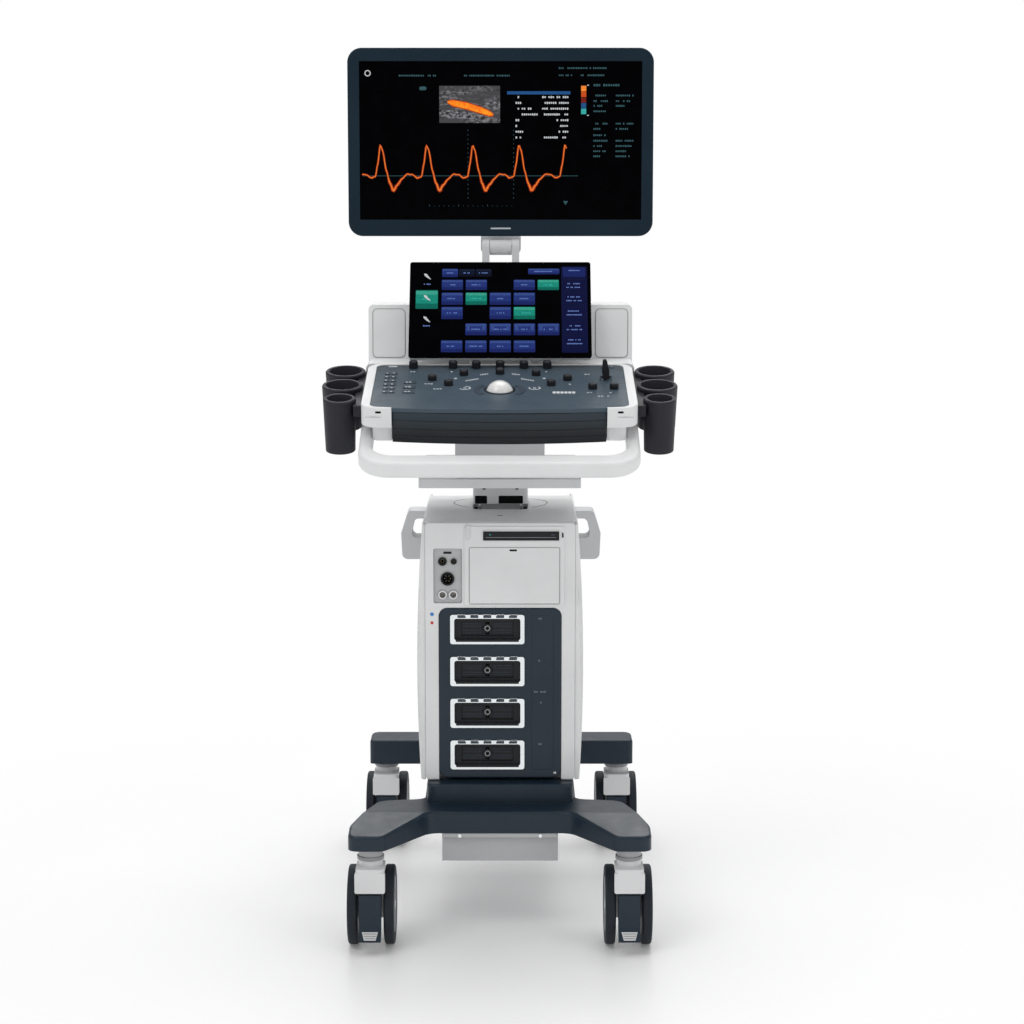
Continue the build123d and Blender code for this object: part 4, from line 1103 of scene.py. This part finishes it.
def mains_inlet():
    """Mains socket with three contacts, and its switch."""
    inlet = rear_board("tower_rear_cover", 78, 282)
    inlet.bar(0, -20, 50, 34, BLACK, 3, high=1.6)
    inlet.bar(7, -20, 27, 20, RECESS, 3, low=1.5, high=2.2)
    for x, y in ((0, -18), (14, -18), (7, -23)):
        inlet.bar(x, y, 1.8, 5, GILT, low=2.1, high=3.2)
    inlet.bar(-15, -20, 11, 18, GREY, 1, low=1.5, high=3.0)
    inlet.bar(-15, -15, 6, 1.2, PRINT, low=3.0, high=3.2)
    inlet.build("mains_inlet", "cart", "black_plastic")


def fan_guard():
    """Wire rings and spokes over the fan, held by four screws."""
    low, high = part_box("cooling_fan")
    _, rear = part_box("tower_rear_cover")
    fan = Board(((low.x + high.x) / 2, rear.y, (low.z + high.z) / 2), -X, Z)
    for radius in (40, 31, 22, 13):
        fan.ring(0, 0, radius + 0.8, radius - 0.8, BRIGHT, low=0.1, high=1.6, steps=48)
    for turn in range(4):
        angle = math.radians(45 + 90 * turn)
        out = Vector((math.cos(angle), math.sin(angle)))
        over = Vector((-out.y, out.x))
        screw(fan, *(46 * out), 2.6)
        left = [reach * out + 0.9 * over for reach in (10, 44)]
        right = [reach * out - 0.9 * over for reach in (10, 44)]
        fan.ribbon(left, right, BRIGHT, 0.1, 1.5)
    fan.build("fan_guard", "cart", "socket_metal")


def neck_details():
    """Two screws in the neck cover and the dark cut-outs along its lower edge."""
    board = front_board("neck_cover", 0, 690)
    for x in (-27, 27):
        screw(board, x, 0, 3.2)
    # painted shade: the cut-outs are flat near-black bars standing for the dark openings
    for x, width in ((-32, 20), (17, 40)):
        board.bar(x, -19, width, 13, RECESS, 1.5, high=0.25)
    board.build("neck_screws", "lift", "socket_metal")


# ---- casters
WHEEL_FACE = 33.5            # from the caster's middle to the floor of a wheel's dish
WHEEL_INNER = 20.5
HUB_OUTLINE = ((0, 0), (45.8, 0), (45.8, 1.6), (44.2, 2.5), (40.5, 2.5), (39, 1.2), (13, 1.0), (11.5, 2.6),
               (0, 2.8))


def hub_caps():
    """A hub disc with a raised rim, dark windows and an axle cap on each wheel, and a ring behind it."""
    for name in CASTER_NAMES:
        middle = Vector(JOINTS["roll_" + name]["pos_m"])
        for side, label in ((-1, "a"), (1, "b")):
            board = Board(middle + Vector((side * WHEEL_FACE * MM, 0, 0)), (0, side, 0), Z)
            board.turned(0, 0, HUB_OUTLINE, GREY, 56)
            for k in range(5):
                board.ring(0, 0, 35, 19, NAVY, 72 * k + 12, 48, low=0.9, high=1.3, steps=14)
            board.turned(0, 0, [(0, 2.7), (6, 2.7), (5.5, 2.95), (0, 2.98)], BRIGHT, 24)
            board.build(f"hub_{name}_{label}", "wheels_" + name, "cast_aluminium")
            back = Board(middle + Vector((side * WHEEL_INNER * MM, 0, 0)), (0, -side, 0), Z)
            back.ring(0, 0, 47, 9, GREY, low=0.0, high=0.5, steps=56)
            back.build(f"hub_back_{name}_{label}", "wheels_" + name, "cast_aluminium")


def pedal_pads():
    """A pale ribbed pad on the tip of each brake pedal."""
    for name in CASTER_NAMES:
        middle = Vector(JOINTS["swivel_" + name]["pos_m"]) / MM
        board = board_on("caster_pedal_" + name, (middle.x, middle.y - 200, 33), Y, X)
        board.prism([(-9, -7), (9, -7), (12.5, 6), (-12.5, 6)], PALE, -0.1, 0.7)
        for k in range(3):
            board.bar(0, -4 + 3.6 * k, 17 + 2 * k, 1.2, GREY, 0.4, low=0.6, high=1.2)
        board.build("pedal_pad_" + name, "pedal_" + name, "cast_aluminium")


def stem_collars():
    """A stepped collar round each caster's stem, under the foot."""
    for name in CASTER_NAMES:
        x, y, _ = JOINTS["swivel_" + name]["pos_m"]
        board = Board((x, y, 0.1465), X, Y)
        board.ring(0, 0, 21, 10, GREY, low=0.3, high=5.5, steps=48)
        board.ring(0, 0, 17.5, 10, KEY_FACE, low=5.5, high=16, steps=48)
        board.build("stem_collar_" + name, "cart", "black_plastic")


dress_frame()
monitor_image()
monitor_details()
touch_image()
panel_keys()
panel_legends()
trackball_shade_rim()
knob_marks()
key_marks()
bezel_details()
wing_panels()
keyboard_marks()
cup_liners()
socket_contacts()
socket_rims()
socket_locks()
panel_labels()
front_cover_details()
jack_rings()
tray_details()
lid_seam()
lid_details()
side_screws()
rear_ports()
mains_inlet()
fan_guard()
neck_details()
hub_caps()
pedal_pads()
stem_collars()
